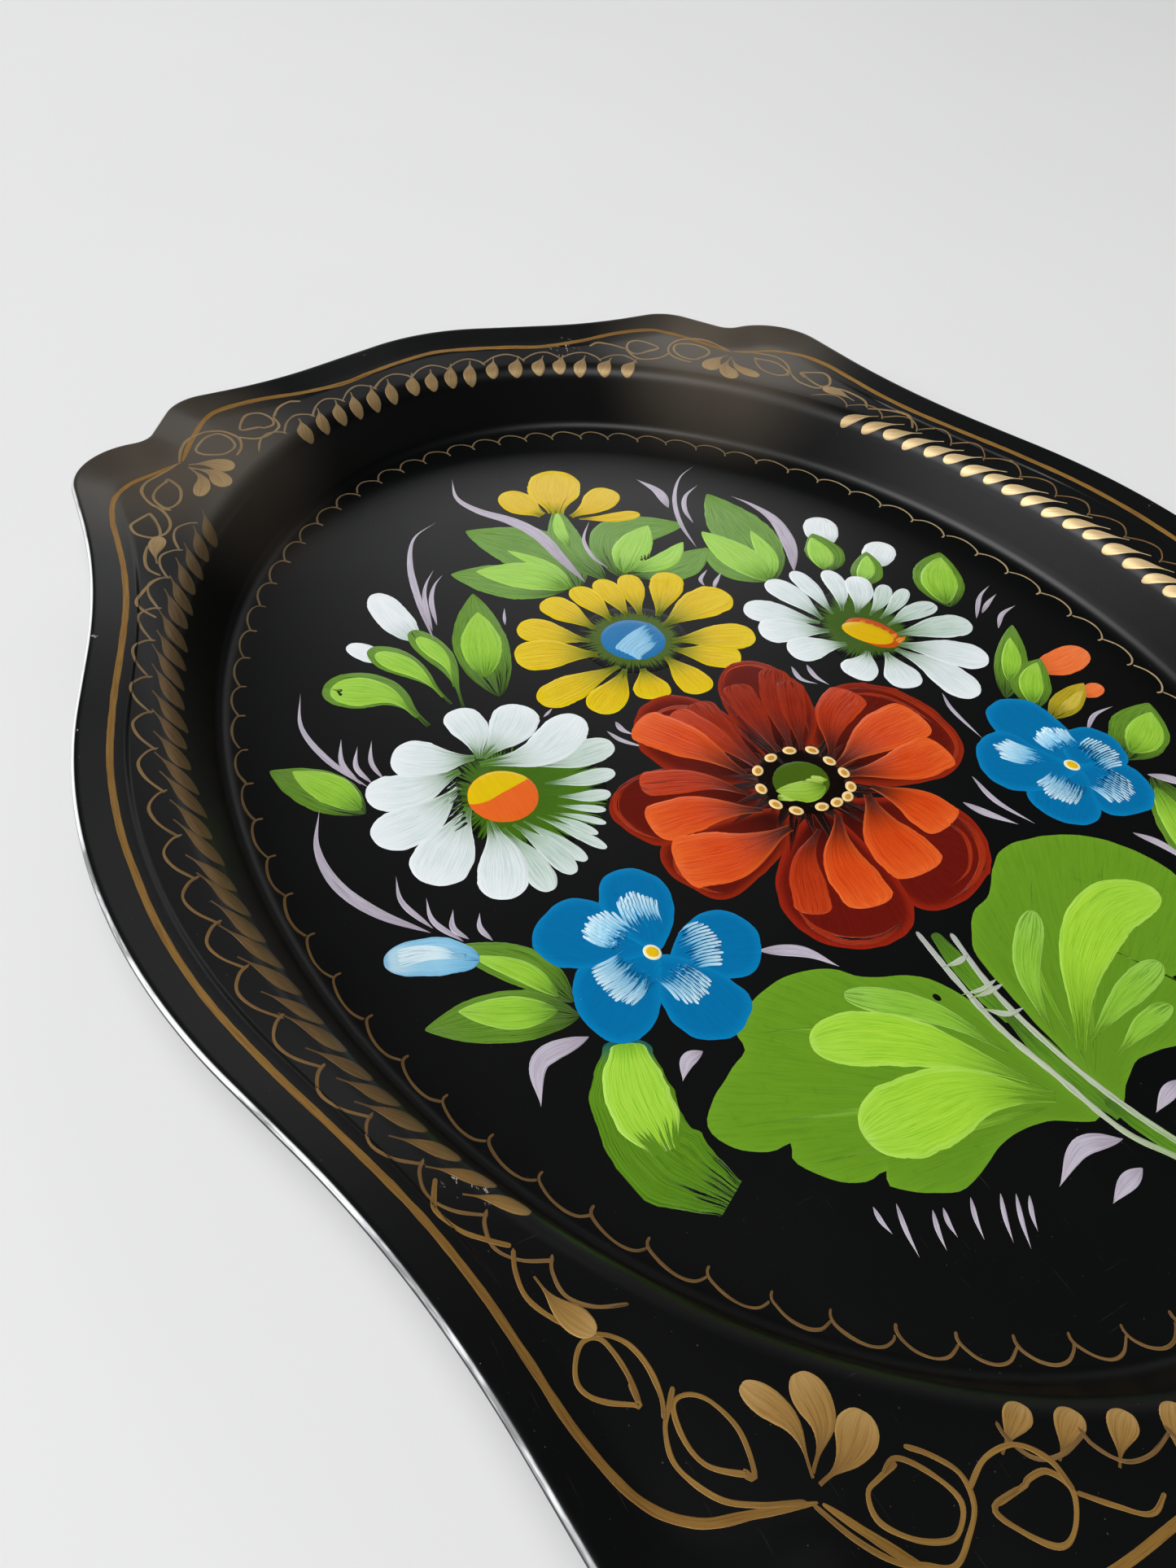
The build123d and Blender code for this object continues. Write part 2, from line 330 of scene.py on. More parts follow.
def lacquerMaterial():
    look = {
        "base": (0.0016, 0.0020, 0.0021), "cloudy": (0.0028, 0.0030, 0.0030),
        "dust": (0.09, 0.085, 0.075), "bloom": (0.10, 0.082, 0.062), "highlightPale": (0.86, 0.88, 0.90),
        "flake": (0.55, 0.50, 0.44), "rust": (0.23, 0.14, 0.075), "steel": (0.62, 0.60, 0.57),
        "gloss": 0.31, "specular": 0.27,
        # places in metres: corners with a bloom, and knocks with how far each one reaches
        "corners": ((-0.176, 0.112, 0.023), (-0.176, -0.112, 0.023)),
        "knocks": (((0.100, -0.137, 0.021), 0.007), ((-0.085, -0.178, 0.027), 0.012),
                   ((-0.204, 0.050, 0.024), 0.008)),
    }
    mat, tree, shader = newMaterial("blackLacquer")
    place = addNode(tree, "ShaderNodeTexCoord").outputs["Object"]
    split = addNode(tree, "ShaderNodeSeparateXYZ")
    wire(tree, place, split.inputs[0])
    # long fine wipe scratches in two directions, only where a broad cloud lets them show
    fineA = addNoise(tree, stretched(tree, place, (60, 2600, 400), 0.5), 1.0, 2.0, 0.5)
    fineB = addNoise(tree, stretched(tree, place, (2200, 50, 400), 0.35), 1.0, 2.0, 0.5)
    cloud = addNoise(tree, place, 9.0, 3.0, 0.6)
    broad = addRamp(tree, cloud, [(0.45, 0.0), (0.72, 1.0)])
    scratchA = addRamp(tree, fineA, [(0.72, 0.0), (0.8, 1.0)])
    scratchB = addRamp(tree, fineB, [(0.735, 0.0), (0.8, 1.0)])
    scratches = times(tree, addMath(tree, "MAXIMUM", scratchA, scratchB), broad)
    specks = addRamp(tree, addNoise(tree, place, 1500.0, 1.0, 0.3), [(0.79, 0.0), (0.83, 1.0)])
    marks = addMath(tree, "MAXIMUM", times(tree, scratches, 0.35),
                    times(tree, specks, 0.5))
    tint = mixColour(tree, addRamp(tree, addNoise(tree, place, 5.0, 2.0, 0.5), [(0.3, 0.0), (0.7, 1.0)]),
                     look["base"], look["cloudy"])
    colour = mixColour(tree, marks, tint, look["dust"])
    height = times(tree, split.outputs["Z"], 1000.0)
    # a painted highlight: the outside of the rolled edge is painted pale grey along the near side, which
    # faces the light, broken up by noise
    paintedHighlight = attributeOf(tree, "beadOutside")
    litSide = addRamp(tree, times(tree, split.outputs["Y"], -10.0), [(0.3, 0.0), (0.9, 1.0)])
    rubbedAndLit = addRamp(
        tree, addNoise(tree, stretched(tree, place, (30, 30, 400)), 1.0, 4.0, 0.7),
        [(0.36, 0.25), (0.52, 1.0)])
    paintedHighlight = times(tree, times(tree, paintedHighlight, litSide), rubbedAndLit)
    colour = mixColour(tree, times(tree, paintedHighlight, 0.97), colour, look["highlightPale"])
    # chips of bare and rusty metal along the top of the rolled edge
    edge = addRamp(tree, minus(tree, height, rimTop - 1.5), [(0.1, 0.0), (1.0, 1.0)])
    chips = addRamp(tree, addNoise(tree, stretched(tree, place, (1, 1, 2.5)), 210.0, 5.0, 0.75),
                    [(0.69, 0.0), (0.71, 1.0)], eased=False)
    chipped = times(tree, addRamp(tree, edge, [(0.2, 0.0), (0.75, 1.0)]), chips)
    rust = mixColour(tree, addNoise(tree, place, 900.0), look["rust"], look["steel"])
    colour = mixColour(tree, chipped, colour, rust)
    # a brown dusty bloom in the two corners by the far end
    for corner in look["corners"]:
        away = times(tree, distanceTo(tree, place, corner), 10.0)
        near = addRamp(tree, away, [(0.12, 1.0), (0.62, 0.0)])
        bloom = times(tree, near, plus(tree, times(tree, cloud, 0.8), 0.36))
        bloom = times(tree, bloom, addRamp(tree, height, [(0.0, 0.0), (1.0, 1.0)]))
        colour = mixColour(tree, bloom, colour, look["bloom"])
    # small pale chips where the rim has been knocked
    flakes = addRamp(tree, addNoise(tree, stretched(tree, place, (260, 700, 500), 0.7), 1.0, 3.0, 0.7),
                     [(0.62, 0.0), (0.65, 1.0)], eased=False)
    for spot, reach in look["knocks"]:
        away = addMath(tree, "DIVIDE", distanceTo(tree, place, spot), reach)
        near = addRamp(tree, away, [(0.3, 1.0), (1.0, 0.0)])
        colour = mixColour(tree, times(tree, near, flakes), colour, look["flake"])
    wire(tree, colour, shader.inputs["Base Color"])
    haze = addNoise(tree, place, 22.0, 4.0, 0.65)
    rough = plus(tree, times(tree, haze, 0.10), look["gloss"])
    rough = plus(tree, rough, times(tree, marks, 0.25))
    rough = plus(tree, rough, times(tree, chipped, 0.25), clamp=True)
    wire(tree, rough, shader.inputs["Roughness"])
    shader.inputs["Specular IOR Level"].default_value = look["specular"]
    shader.inputs["IOR"].default_value = 1.5
    # orange peel of the lacquer and the cut of the scratches
    peel = addNoise(tree, place, 420.0, 3.0, 0.5)
    relief = minus(tree, peel, times(tree, marks, 0.8))
    relief = minus(tree, relief, times(tree, chipped, 3.0))
    addBump(tree, shader, relief, 0.10, 0.0001)
    return mat


panPiece.data.materials.append(lacquerMaterial())


def wireMaterial():
    mat, tree, shader = newMaterial("drawnIron")
    place = addNode(tree, "ShaderNodeTexCoord").outputs["Object"]
    streak = addNoise(tree, place, 700.0, 3.0, 0.6)
    wire(
        tree, mixColour(tree, streak, (0.24, 0.22, 0.20), (0.38, 0.36, 0.33)),
        shader.inputs["Base Color"])
    wire(tree, plus(tree, times(tree, streak, 0.25), 0.3), shader.inputs["Roughness"])
    shader.inputs["Metallic"].default_value = 1.0
    return mat


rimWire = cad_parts["rim_wire"].data
rimWire.materials.clear()
rimWire.materials.append(wireMaterial())
print("pan and wire finished")


# brush and paint
def tone(red, green, blue):
    # colour as seen, 0 to 255, to the linear values that the shader takes
    return tuple(((c / 255 + 0.055) / 1.055) ** 2.4 if c > 10 else c / 255 / 12.92
                 for c in (red, green, blue))


def blendTone(a, b, share):
    share = min(1.0, max(0.0, share))
    return tuple(p + (q - p) * share for p, q in zip(a, b))


def smooth(low, high, value):
    share = min(1.0, max(0.0, (value - low) / (high - low)))
    return share * share * (3 - 2 * share)


def throughPoints(points, shares, closed=False):
    # points on a smooth line through the given ones, at shares of its length
    marks = [Vector(p) for p in points]
    if closed:
        marks = [marks[-1]] + marks + marks[:2]
    else:
        marks = [marks[0] * 2 - marks[1]] + marks + [marks[-1] * 2 - marks[-2]]
    fine = []
    for i in range(1, len(marks) - 2):
        p0, p1, p2, p3 = marks[i - 1:i + 3]
        for k in range(12):
            t = k / 12
            fine.append(0.5 * (p1 * 2 + (p2 - p0) * t + (p0 * 2 - p1 * 5 + p2 * 4 - p3) * t * t
                               + (p1 * 3 - p0 - p2 * 3 + p3) * t ** 3))
    fine.append(marks[-2])
    run = [0.0]
    for a, b in zip(fine, fine[1:]):
        run.append(run[-1] + (b - a).length)
    found, k = [], 0
    for share in shares:
        goal = run[-1] * share
        while k < len(run) - 2 and run[k + 1] < goal:
            k += 1
        share = (goal - run[k]) / max(run[k + 1] - run[k], 1e-6)
        found.append(fine[k].lerp(fine[k + 1], share))
    return found, run[-1]


def roundEnd(u, start):
    return 1.0 if u < start else sqrt(max(0.0, 1 - ((u - start) / (1 - start)) ** 2))


# half width along a stroke, from its root at 0 to its tip at 1
brushShape = {
    "petal": lambda u: (0.16 + 0.84 * smooth(0.0, 0.66, u)) * roundEnd(u, 0.76),
    "slim": lambda u: (0.35 + 0.65 * smooth(0.0, 0.5, u)) * roundEnd(u, 0.88),
    "broad": lambda u: (0.3 + 0.7 * smooth(0.0, 0.5, u)) * roundEnd(u, 0.62),
    "blunt": lambda u: (0.14 + 0.86 * smooth(0.0, 0.7, u)) * roundEnd(u, 0.9),
    "leaf": lambda u: sin(pi * u ** 0.9) ** 0.8,
    "bud": lambda u: (0.55 + 0.45 * smooth(0.0, 0.4, u)) * roundEnd(u, 0.6) * roundEnd(1 - u, 0.86),
    "drop": lambda u: (0.1 + 0.9 * smooth(0.15, 0.72, u)) * roundEnd(u, 0.74),
    "lash": lambda u: sin(pi * u ** 0.75) ** 1.2,
    "flick": lambda u: (1 - u) ** 0.8 * roundEnd(1 - u, 0.8),
    "line": lambda u: roundEnd(u, 0.96) * roundEnd(1 - u, 0.96),
    "band": lambda u: (0.55 + 0.45 * smooth(0.0, 0.35, u)) * roundEnd(1 - u, 0.95)
    * (1 - 0.5 * smooth(0.72, 1.0, u)),
}

acrossMarks = (-1.0, -0.94, -0.78, -0.52, -0.26, 0.0, 0.26, 0.52, 0.78, 0.94, 1.0)


def newCanvas(seed):
    return {"verts": [], "faces": [], "body": [], "under": [], "load": [], "hair": [], "uv": [],
            "chance": random.Random(seed)}


paintCell = 0.7    # side of the small squares that remember the height of the paint, mm
paintTop = {}      # highest paint so far over each square, mm
paintGap = 0.008   # each touch lies this far over the one below
edgeSink = 0.025   # and its outline dips this far into it
lineStep, strokeStep = 0.7, 0.9     # greatest distance between two rows of a touch


def paintBelow(x, y):
    i, j = round(x / paintCell), round(y / paintCell)
    near = (1 if x / paintCell > i else -1, 1 if y / paintCell > j else -1)
    return max(paintTop.get((i + a, j + b), 0.0) for a in (0, near[0]) for b in (0, near[1]))


def rememberPaint(rows, closed=False):
    # rows of (x, y, height) that have just been laid
    for low, high in zip(rows, rows[1:]):
        count = len(low)
        for k in range(count if closed else count - 1):
            a, b, c, d = low[k], low[(k + 1) % count], high[k], high[(k + 1) % count]
            reach = max(abs(a[0] - d[0]), abs(a[1] - d[1]), abs(b[0] - c[0]), abs(b[1] - c[1]))
            steps = max(1, ceil(reach / paintCell))
            for i in range(steps + 1):
                for j in range(steps + 1):
                    u, v = i / steps, j / steps
                    x, y, h = ((a[n] * (1 - u) + b[n] * u) * (1 - v) + (c[n] * (1 - u) + d[n] * u) * v
                               for n in range(3))
                    key = (round(x / paintCell), round(y / paintCell))
                    if h > paintTop.get(key, 0.0):
                        paintTop[key] = h


def layHeight(x, y, height):
    # a point on the lacquer, lifted by the paint
    oval = (x / (pan["wellA"] - 1)) ** 2 + (y / (pan["wellB"] - 1)) ** 2
    if oval < 1:
        return (x, y, floorTop + height)
    spot, normal = panTree.ray_cast(Vector((x, y, 60)) * mm, Vector((0, 0, -1)))[:2]
    if spot is None:
        return (x, y, floorTop + height)
    return tuple(spot / mm + normal * height)


def paintColour(brush, u, v, cap):
    # cap is how near the stroke's outline the point is, 0 in the middle and 1 on the line
    colour = blendTone(brush["root"], brush["body"], smooth(0.0, brush.get("rootEnd", 0.45), u))
    colour = blendTone(colour, brush.get("tip", brush["body"]), smooth(0.6, 1.0, u))
    if "side" in brush:
        colour = blendTone(colour, brush["side"], smooth(-0.1, 0.9, v) * brush.get("sideShare", 0.8))
    if "edge" in brush:
        colour = blendTone(colour, brush["edge"], smooth(1 - brush.get("edgeWidth", 0.3), 1.0, cap)
                           * brush.get("edgeShare", 0.8))
    return colour


def brushStroke(canvas, shape, brush, width, points):
    chance = canvas["chance"]
    length = sum((Vector(b) - Vector(a)).length for a, b in zip(points, points[1:]))
    count = int(min(60, max(20, length / strokeStep)))
    if shape == "line":
        count = int(min(900, max(14, length / lineStep)))
    # marks crowd together at both ends so that the caps stay round
    shares = [0.4 * k / count + 0.6 * (0.5 - 0.5 * cos(pi * k / count)) for k in range(count + 1)]
    if shape == "line":
        shares = [k / count for k in range(count + 1)]
    line, length = throughPoints(points, shares)
    half = width / 2
    first = len(canvas["verts"])
    thick = brush.get("thick", 0.06)
    laid = []
    ridges = [chance.uniform(-0.3, 0.3) for _ in acrossMarks]
    wobbleSeed = chance.uniform(0, 100)
    shift = chance.uniform(0, 300)
    for i, spot in enumerate(line):
        u = shares[i]
        row = []
        ahead = line[min(i + 1, count)] - line[max(i - 1, 0)]
        side = Vector((-ahead.y, ahead.x)).normalized()
        wide = max(brushShape[shape](u), 0.015) * half
        wide *= 1 + brush.get("wobble", 0.05) * noise.noise((u * length * 0.22, wobbleSeed, 0.0))
        for j, v in enumerate(acrossMarks):
            jag = 1 + 0.03 * noise.noise((u * length * 0.9, wobbleSeed + v * 3, 5.0)) * abs(v)
            x, y = spot + side * wide * v * jag
            swell = (1 - v ** 12) * (0.75 + 0.25 * v * v + ridges[j] * (1 - abs(v)) * 1.2)
            taper = min(1.0, 4 * (1 - u) + 0.15, 5 * u + 0.35)
            height = paintBelow(x, y) + paintGap + thick * swell * taper
            if abs(v) == 1 or i in (0, count):
                height -= thick * swell * taper + edgeSink
            row.append((x, y, height))
            canvas["verts"].append(layHeight(x, y, height))
            cap = max(abs(v), smooth(1 - half / max(length, 1), 1.0, u) if shape != "line" else 0)
            canvas["body"].append((*paintColour(brush, u, v, cap), 1))
            canvas["under"].append((*brush["under"], 1))
            rootLoad, midLoad, tipLoad = brush["load"]
            load = rootLoad + (midLoad - rootLoad) * smooth(0.0, 0.4, u)
            load += (tipLoad - midLoad) * smooth(0.62, 1.0, u)
            canvas["load"].append(load)
            canvas["hair"].append(brush.get("hair", 1.0))
            canvas["uv"].append((u * length + shift, v * half + shift * 0.37))
        laid.append(row)
    rememberPaint(laid)
    across = len(acrossMarks)
    for i in range(count):
        for j in range(across - 1):
            a = first + i * across + j
            canvas["faces"].append((a, a + across, a + across + 1, a + 1))


def paintPatch(canvas, brush, centre, points, grain=0.0, rings=9, around=72):
    # a broad flat area: a closed outline filled from its middle
    chance = canvas["chance"]
    rim = throughPoints(points, [k / around for k in range(around)], closed=True)[0]
    middle = Vector(centre)
    first = len(canvas["verts"])
    thick = brush.get("thick", 0.035)
    shift = chance.uniform(0, 300)
    seed = chance.uniform(0, 100)
    marks = [(k / rings) ** 0.8 for k in range(1, rings)] + [0.97, 1.0]
    canvas["verts"].append(layHeight(middle.x, middle.y, paintBelow(*middle) + paintGap + thick))
    laid = []
    rows = [(middle, 0.0)]
    for mark in marks:
        row = []
        for k in range(around):
            ray = rim[k] - middle
            spot = middle + ray * mark * (1 + brush.get("wobble", 0.02)
                                          * noise.noise((k * 0.35, seed, mark)) * (mark > 0.9))
            rows.append((spot, mark))
            height = paintBelow(*spot) + paintGap
            swell = thick * (1 - mark ** 10) * (1 + 0.25 * noise.noise((*(spot * 0.25), seed)))
            height += -edgeSink if mark == 1.0 else swell
            row.append((spot.x, spot.y, height))
            canvas["verts"].append(layHeight(spot.x, spot.y, height))
        laid.append(row)
    rememberPaint([[(middle.x, middle.y, thick)] * around] + laid, closed=True)
    turn = Matrix.Rotation(-grain, 2)
    root = Vector(brush.get("rootAt", middle))
    reach = brush.get("reach", 40.0)
    for spot, mark in rows:
        far = (spot - root).length / reach
        share = smooth(brush.get("rootFrom", 0.2), brush.get("rootTo", 0.9), far)
        colour = blendTone(brush["root"], brush["body"], share)
        if "edge" in brush:
            colour = blendTone(colour, brush["edge"], smooth(1 - brush.get("edgeWidth", 0.3), 0.98, mark)
                               * brush.get("edgeShare", 0.8))
        canvas["body"].append((*colour, 1))
        canvas["under"].append((*brush["under"], 1))
        canvas["load"].append(
            brush["load"][0] + (brush["load"][2] - brush["load"][0]) * smooth(0.5, 1.0, mark))
        canvas["hair"].append(brush.get("hair", 0.3))
        if brush.get("radial"):
            ray = spot - root
            canvas["uv"].append((ray.length + shift, atan2(ray.y, ray.x) * brush["radial"] + shift))
        else:
            flat = turn @ spot
            canvas["uv"].append((flat.x + shift, flat.y + shift * 0.37))
    for k in range(around):
        canvas["faces"].append((first, first + 1 + k, first + 1 + (k + 1) % around))
    for r in range(len(marks) - 1):
        for k in range(around):
            d = (k + 1) % around
            a = first + 1 + r * around
            canvas["faces"].append((a + k, a + around + k, a + around + d, a + d))


def ovalPoints(x, y, rx, ry, turn=0.0, count=16):
    spin = radians(turn)
    found = []
    for k in range(count):
        t = 2 * pi * k / count
        px, py = rx * cos(t), ry * sin(t)
        found.append((x + px * cos(spin) - py * sin(spin), y + px * sin(spin) + py * cos(spin)))
    return found


def dab(canvas, brush, x, y, rx, ry, turn=0.0):
    paintPatch(canvas, brush, (x, y), ovalPoints(x, y, rx, ry, turn), radians(turn), rings=4, around=24)


def oilMaterial(name, gloss=0.16, metal=0.0, bristle=0.8, ragged=1.0, streaks=0.42):
    mat, tree, shader = newMaterial(name)
    body, under = (attributeOf(tree, name, "Color") for name in ("paintBody", "paintUnder"))
    load, hair = (attributeOf(tree, name) for name in ("paintLoad", "paintHair"))
    strokePlace = addNode(tree, "ShaderNodeUVMap", uv_map="brush").outputs["UV"]
    place = addNode(tree, "ShaderNodeTexCoord").outputs["Object"]
    hairs = addNoise(tree, stretched(tree, strokePlace, (0.045, 1.15, 1)), 1.0, 3.0, 0.65)
    fineHairs = addNoise(tree, stretched(tree, strokePlace, (0.09, 3.0, 1)), 1.0, 3.0, 0.65)
    clots = addNoise(tree, stretched(tree, strokePlace, (0.35, 0.6, 1)), 1.0, 3.0, 0.6)
    # paint covers where the brush was full, and breaks into hairs where it ran dry
    pull = times(tree, minus(tree, hairs, 0.5), ragged * 2.2)
    cover = addRamp(tree, plus(tree, load, pull), [(0.38, 0.0), (0.56, 1.0)])
    lighter = mixColour(tree, 0.5, body, (1.0, 1.0, 1.0), "SOFT_LIGHT")
    darker = mixColour(tree, 0.75, body, body, "MULTIPLY")
    shade = addRamp(tree, hairs, [(0.42, 0.0), (0.62, 1.0)])
    colour = mixColour(tree, times(tree, times(tree, shade, streaks), hair), body, lighter)
    hollow = addRamp(tree, fineHairs, [(0.46, 0.0), (0.68, 1.0)])
    hollow = times(tree, times(tree, hollow, streaks * 1.7), hair)
    colour = mixColour(tree, hollow, colour, darker)
    thin = addRamp(tree, clots, [(0.56, 0.0), (0.8, 1.0)])
    colour = mixColour(tree, times(tree, thin, 0.22), colour, darker)
    colour = mixColour(tree, cover, under, colour)
    specks = addRamp(tree, addNoise(tree, place, 1400.0, 1.0, 0.3), [(0.80, 0.0), (0.84, 1.0)])
    colour = mixColour(tree, times(tree, specks, 0.35), colour, (0.35, 0.33, 0.30))
    wire(tree, colour, shader.inputs["Base Color"])
    rough = plus(tree, times(tree, fineHairs, 0.14), gloss - 0.05)
    wire(tree, rough, shader.inputs["Roughness"])
    shader.inputs["Metallic"].default_value = metal
    shader.inputs["Specular IOR Level"].default_value = 0.3
    relief = plus(tree, times(tree, hairs, 1.0), times(tree, fineHairs, 0.35))
    relief = times(tree, times(tree, relief, cover), hair)
    addBump(tree, shader, relief, bristle, 0.00014)
    return mat


slotPaint = {
    "red_paint": oilMaterial("redOil", 0.17),
    "yellow_paint": oilMaterial("yellowOil", 0.2),
    "white_paint": oilMaterial("whiteOil", 0.2, streaks=0.58),
    "blue_paint": oilMaterial("blueOil", 0.2, streaks=0.32),
    "orange_paint": oilMaterial("orangeOil", 0.2),
    "green_paint": oilMaterial("greenOil", 0.19),
    "lilac_paint": oilMaterial("lilacOil", 0.22, ragged=0.5),
    "gold_paint": oilMaterial("bronzeOil", 0.42, metal=0.35, bristle=0.35, ragged=0.6, streaks=0.35),
}


def hangUp(canvas, name, slot, *nodes):
    piece = meshFrom(name, canvas["verts"], canvas["faces"])
    mesh = piece.data
    for key, entry in (("paintBody", "body"), ("paintUnder", "under")):
        layer = mesh.attributes.new(key, "FLOAT_COLOR", "POINT")
        layer.data.foreach_set("color", [c for v in canvas[entry] for c in v])
    for key, entry in (("paintLoad", "load"), ("paintHair", "hair")):
        layer = mesh.attributes.new(key, "FLOAT", "POINT")
        layer.data.foreach_set("value", canvas[entry])
    flat = mesh.uv_layers.new(name="brush")
    for loop in mesh.loops:
        flat.data[loop.index].uv = canvas["uv"][loop.vertex_index]
    mesh.materials.append(slotPaint[slot])
    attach(piece, "root")
    if nodes:
        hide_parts(*nodes)
    print("painted", name, len(canvas["faces"]), "faces")
    return piece


black = (0.0035, 0.0035, 0.0037)


def brushOf(body, root=None, under=black, load=(1.6, 1.6, 1.6), **more):
    found = {"body": tone(*body), "root": tone(*(root or body)), "load": load,
             "under": tone(*under) if max(under) > 1 else under}
    for key, value in more.items():
        found[key] = tone(*value) if key in ("tip", "side", "edge") else value
    return found


def strokeAll(canvas, shape, brush, strokes):
    for width, *points in strokes:
        brushStroke(canvas, shape, brush, width, points)


# red poppy
def paintPoppy():
    canvas = newCanvas(3)
    heart = (24.5, 4.0)

    def fromHeart(reach, angle):
        return (heart[0] + reach * cos(angle), heart[1] + reach * sin(angle))

    lobe = {"radial": 24.0, "rootAt": heart, "reach": 56.0, "rootFrom": 0.18, "rootTo": 0.62}
    dark = brushOf((98, 22, 12), (24, 8, 5), edge=(152, 42, 18), edgeWidth=0.20, edgeShare=0.85,
                   load=(1.6, 1.6, 1.3), **lobe)
    deep = brushOf((104, 21, 12), (26, 7, 5), edge=(156, 38, 18), edgeWidth=0.18, edgeShare=0.85,
                   load=(1.6, 1.6, 1.3), **lobe)
    lobes = [
        (dark, (18, 38),
         [(21, 12), (6, 20), (-4, 34), (-5, 45), (2, 55), (11, 60), (21, 61.5), (33, 59), (40.5, 50),
          (41.5, 38), (36, 22), (29, 13)]),
        (deep, (61, 17),
         [(36, 12), (44, 30), (50, 37), (60, 39), (70, 35), (77, 27), (80.5, 14), (78, 4), (64, 0),
          (46, 0), (37, 5)]),
        (deep, (62, -11),
         [(36, 4), (50, 5), (66, 5), (79, 0), (82.5, -10), (80, -20), (73, -28), (62, -30), (51, -25),
          (42, -14), (36, -3)]),
        (dark, (10, -34),
         [(26, -8), (12, -15), (4, -25), (1.5, -36), (4, -46), (11, -52.5), (20, -51.5), (28, -46),
          (29, -32), (29, -16)]),
        (dark, (38, -34),
         [(30, -8), (28, -22), (27, -36), (28, -46), (35, -49.5), (44, -47), (51.5, -41), (49, -28),
          (44, -16), (37, -8)]),
        (dark, (-6, -13),
         [(18, 2), (4, 2.5), (-10, 1), (-21, -5), (-25, -13), (-23, -22), (-15, -29), (-3, -31),
          (10, -24), (20, -12)]),
        (dark, (-8, 15),
         [(18, 10), (6, 24), (-8, 30), (-18, 29), (-27, 24), (-28.5, 15), (-22, 6), (-8, 1), (8, 0),
          (18, 3)])]
    for brush, centre, points in lobes:
        paintPatch(canvas, brush, centre, points, rings=11, around=90)
    rim = brushOf((160, 48, 20), (120, 30, 14), load=(0.55, 0.72, 0.5), thick=0.03)
    strokeAll(canvas, "lash", rim, [
        (2.2, (-4, 38), (1, 51), (10, 57), (22, 59), (33, 56), (39, 47), (40, 36)),
        (1.6, (-2, 36), (3, 48), (12, 54.5), (23, 56.5)),
        (2.4, (48, 33), (60, 36), (71, 31), (77, 20), (78, 9)),
        (2.8, (78, -3), (79.5, -12), (76, -21), (68, -26), (58, -25)),
        (1.8, (3, -34), (4, -44), (11, -50), (20, -49), (27, -44)),
        (1.6, (30, -43), (37, -46.5), (46, -43.5), (50, -39)),
        (2.2, (8, 0.5), (-6, -1), (-16, -7), (-19, -15), (-16, -24), (-9, -28)),
        (2.0, (10, 18), (-4, 25), (-16, 28), (-25, 22), (-26, 13), (-19, 6)),
        (1.4, (52, 31), (63, 32), (72, 25), (75, 15)),
    ])
    soot = brushOf((26, 9, 5), (16, 6, 4), under=(90, 24, 12), load=(0.8, 0.6, 0.2), thick=0.008)
    sootRays = 34
    for k in range(sootRays):
        t = 2 * pi * k / sootRays + 0.03 * (k % 5)
        brushStroke(canvas, "flick", soot, 4.5, [fromHeart(8, t), fromHeart(17 + 6 * (k % 3), t + 0.05)])
    light = {"tip": (226, 92, 34), "edge": (238, 112, 48), "edgeWidth": 0.35, "edgeShare": 0.5,
             "thick": 0.11, "rootEnd": 0.6, "under": (98, 22, 12)}
    bright = brushOf((214, 74, 22), (60, 15, 8), load=(0.55, 1.05, 0.95), **light)
    dusky = brushOf((176, 52, 18), (54, 14, 8), load=(0.5, 1, 0.75),
                    **{**light, "tip": (190, 62, 24), "edge": (200, 72, 30)})
    dull = brushOf((142, 38, 16), (60, 16, 8), load=(0.75, 0.95, 0.6),
                   **{**light, "tip": (150, 44, 18), "edge": (164, 52, 24)})
    strokeAll(canvas, "blunt", dull, [
        (10, (13, 9), (-5, 17), (-21, 27)), (9, (14, 12), (0, 20), (-14, 28)),
        (10, (12, 5), (-4, 8), (-20, 11)), (11, (16, -2), (0, -5), (-18, -5))])
    strokeAll(canvas, "blunt", dusky, [
        (13, (19, 19), (6, 30), (-1, 43)), (10, (42, -3), (50, -14), (66, -23)),
        (10, (22, -13), (12, -22), (5, -39)), (9.5, (15, -4), (-1, -8), (-17, -14)),
    ])
    strokeAll(canvas, "blunt", bright, [
        (17, (24, 17), (19, 36), (17, 55)), (14.5, (28, 17), (32.5, 36), (32, 52)),
        (15, (35, 21), (46, 28), (57.5, 31)), (18, (37, 18), (52, 13), (68, 13)),
        (14.5, (40, 5), (54, -4), (71, -7)), (14, (29, -13), (22, -28), (20, -45)),
        (18.5, (38, -10), (39, -28), (35, -46)), (15, (15, -9), (0, -15), (-18, -26)),
    ])
    core = brushOf((14, 6, 4), load=(1, 1, 0.85), radial=14.0, rootAt=heart, thick=0.02)
    paintPatch(canvas, core, heart, ovalPoints(*heart, 13.2, 12.6), rings=6, around=48)
    dab(
        canvas, brushOf((96, 128, 26), (70, 98, 18), side=(96, 128, 26), thick=0.08), 24.4, 3.8, 7.8,
        8.8, 10)
    lime = brushOf((176, 204, 92), (126, 160, 44), under=(88, 120, 24), load=(1, 0.9, 0.5), thick=0.1)
    strokeAll(canvas, "slim", lime, [(2.6, (27.5 + 0.5 * k, 11 - 1.9 * k), (24.8 + 0.3 * k, 7 - 2.2 * k))
                                     for k in range(7)])
    strokeAll(canvas, "leaf", brushOf((150, 190, 60), (110, 150, 40), load=(1, 1, 0.8), thick=0.08,
                                      under=(88, 120, 24)), [(8.5, (29.5, 9), (28.4, 2), (24.5, -5.2))])
    seedRing = brushOf((244, 214, 150), thick=0.12)
    seedHeart = brushOf((206, 150, 60), thick=0.05)
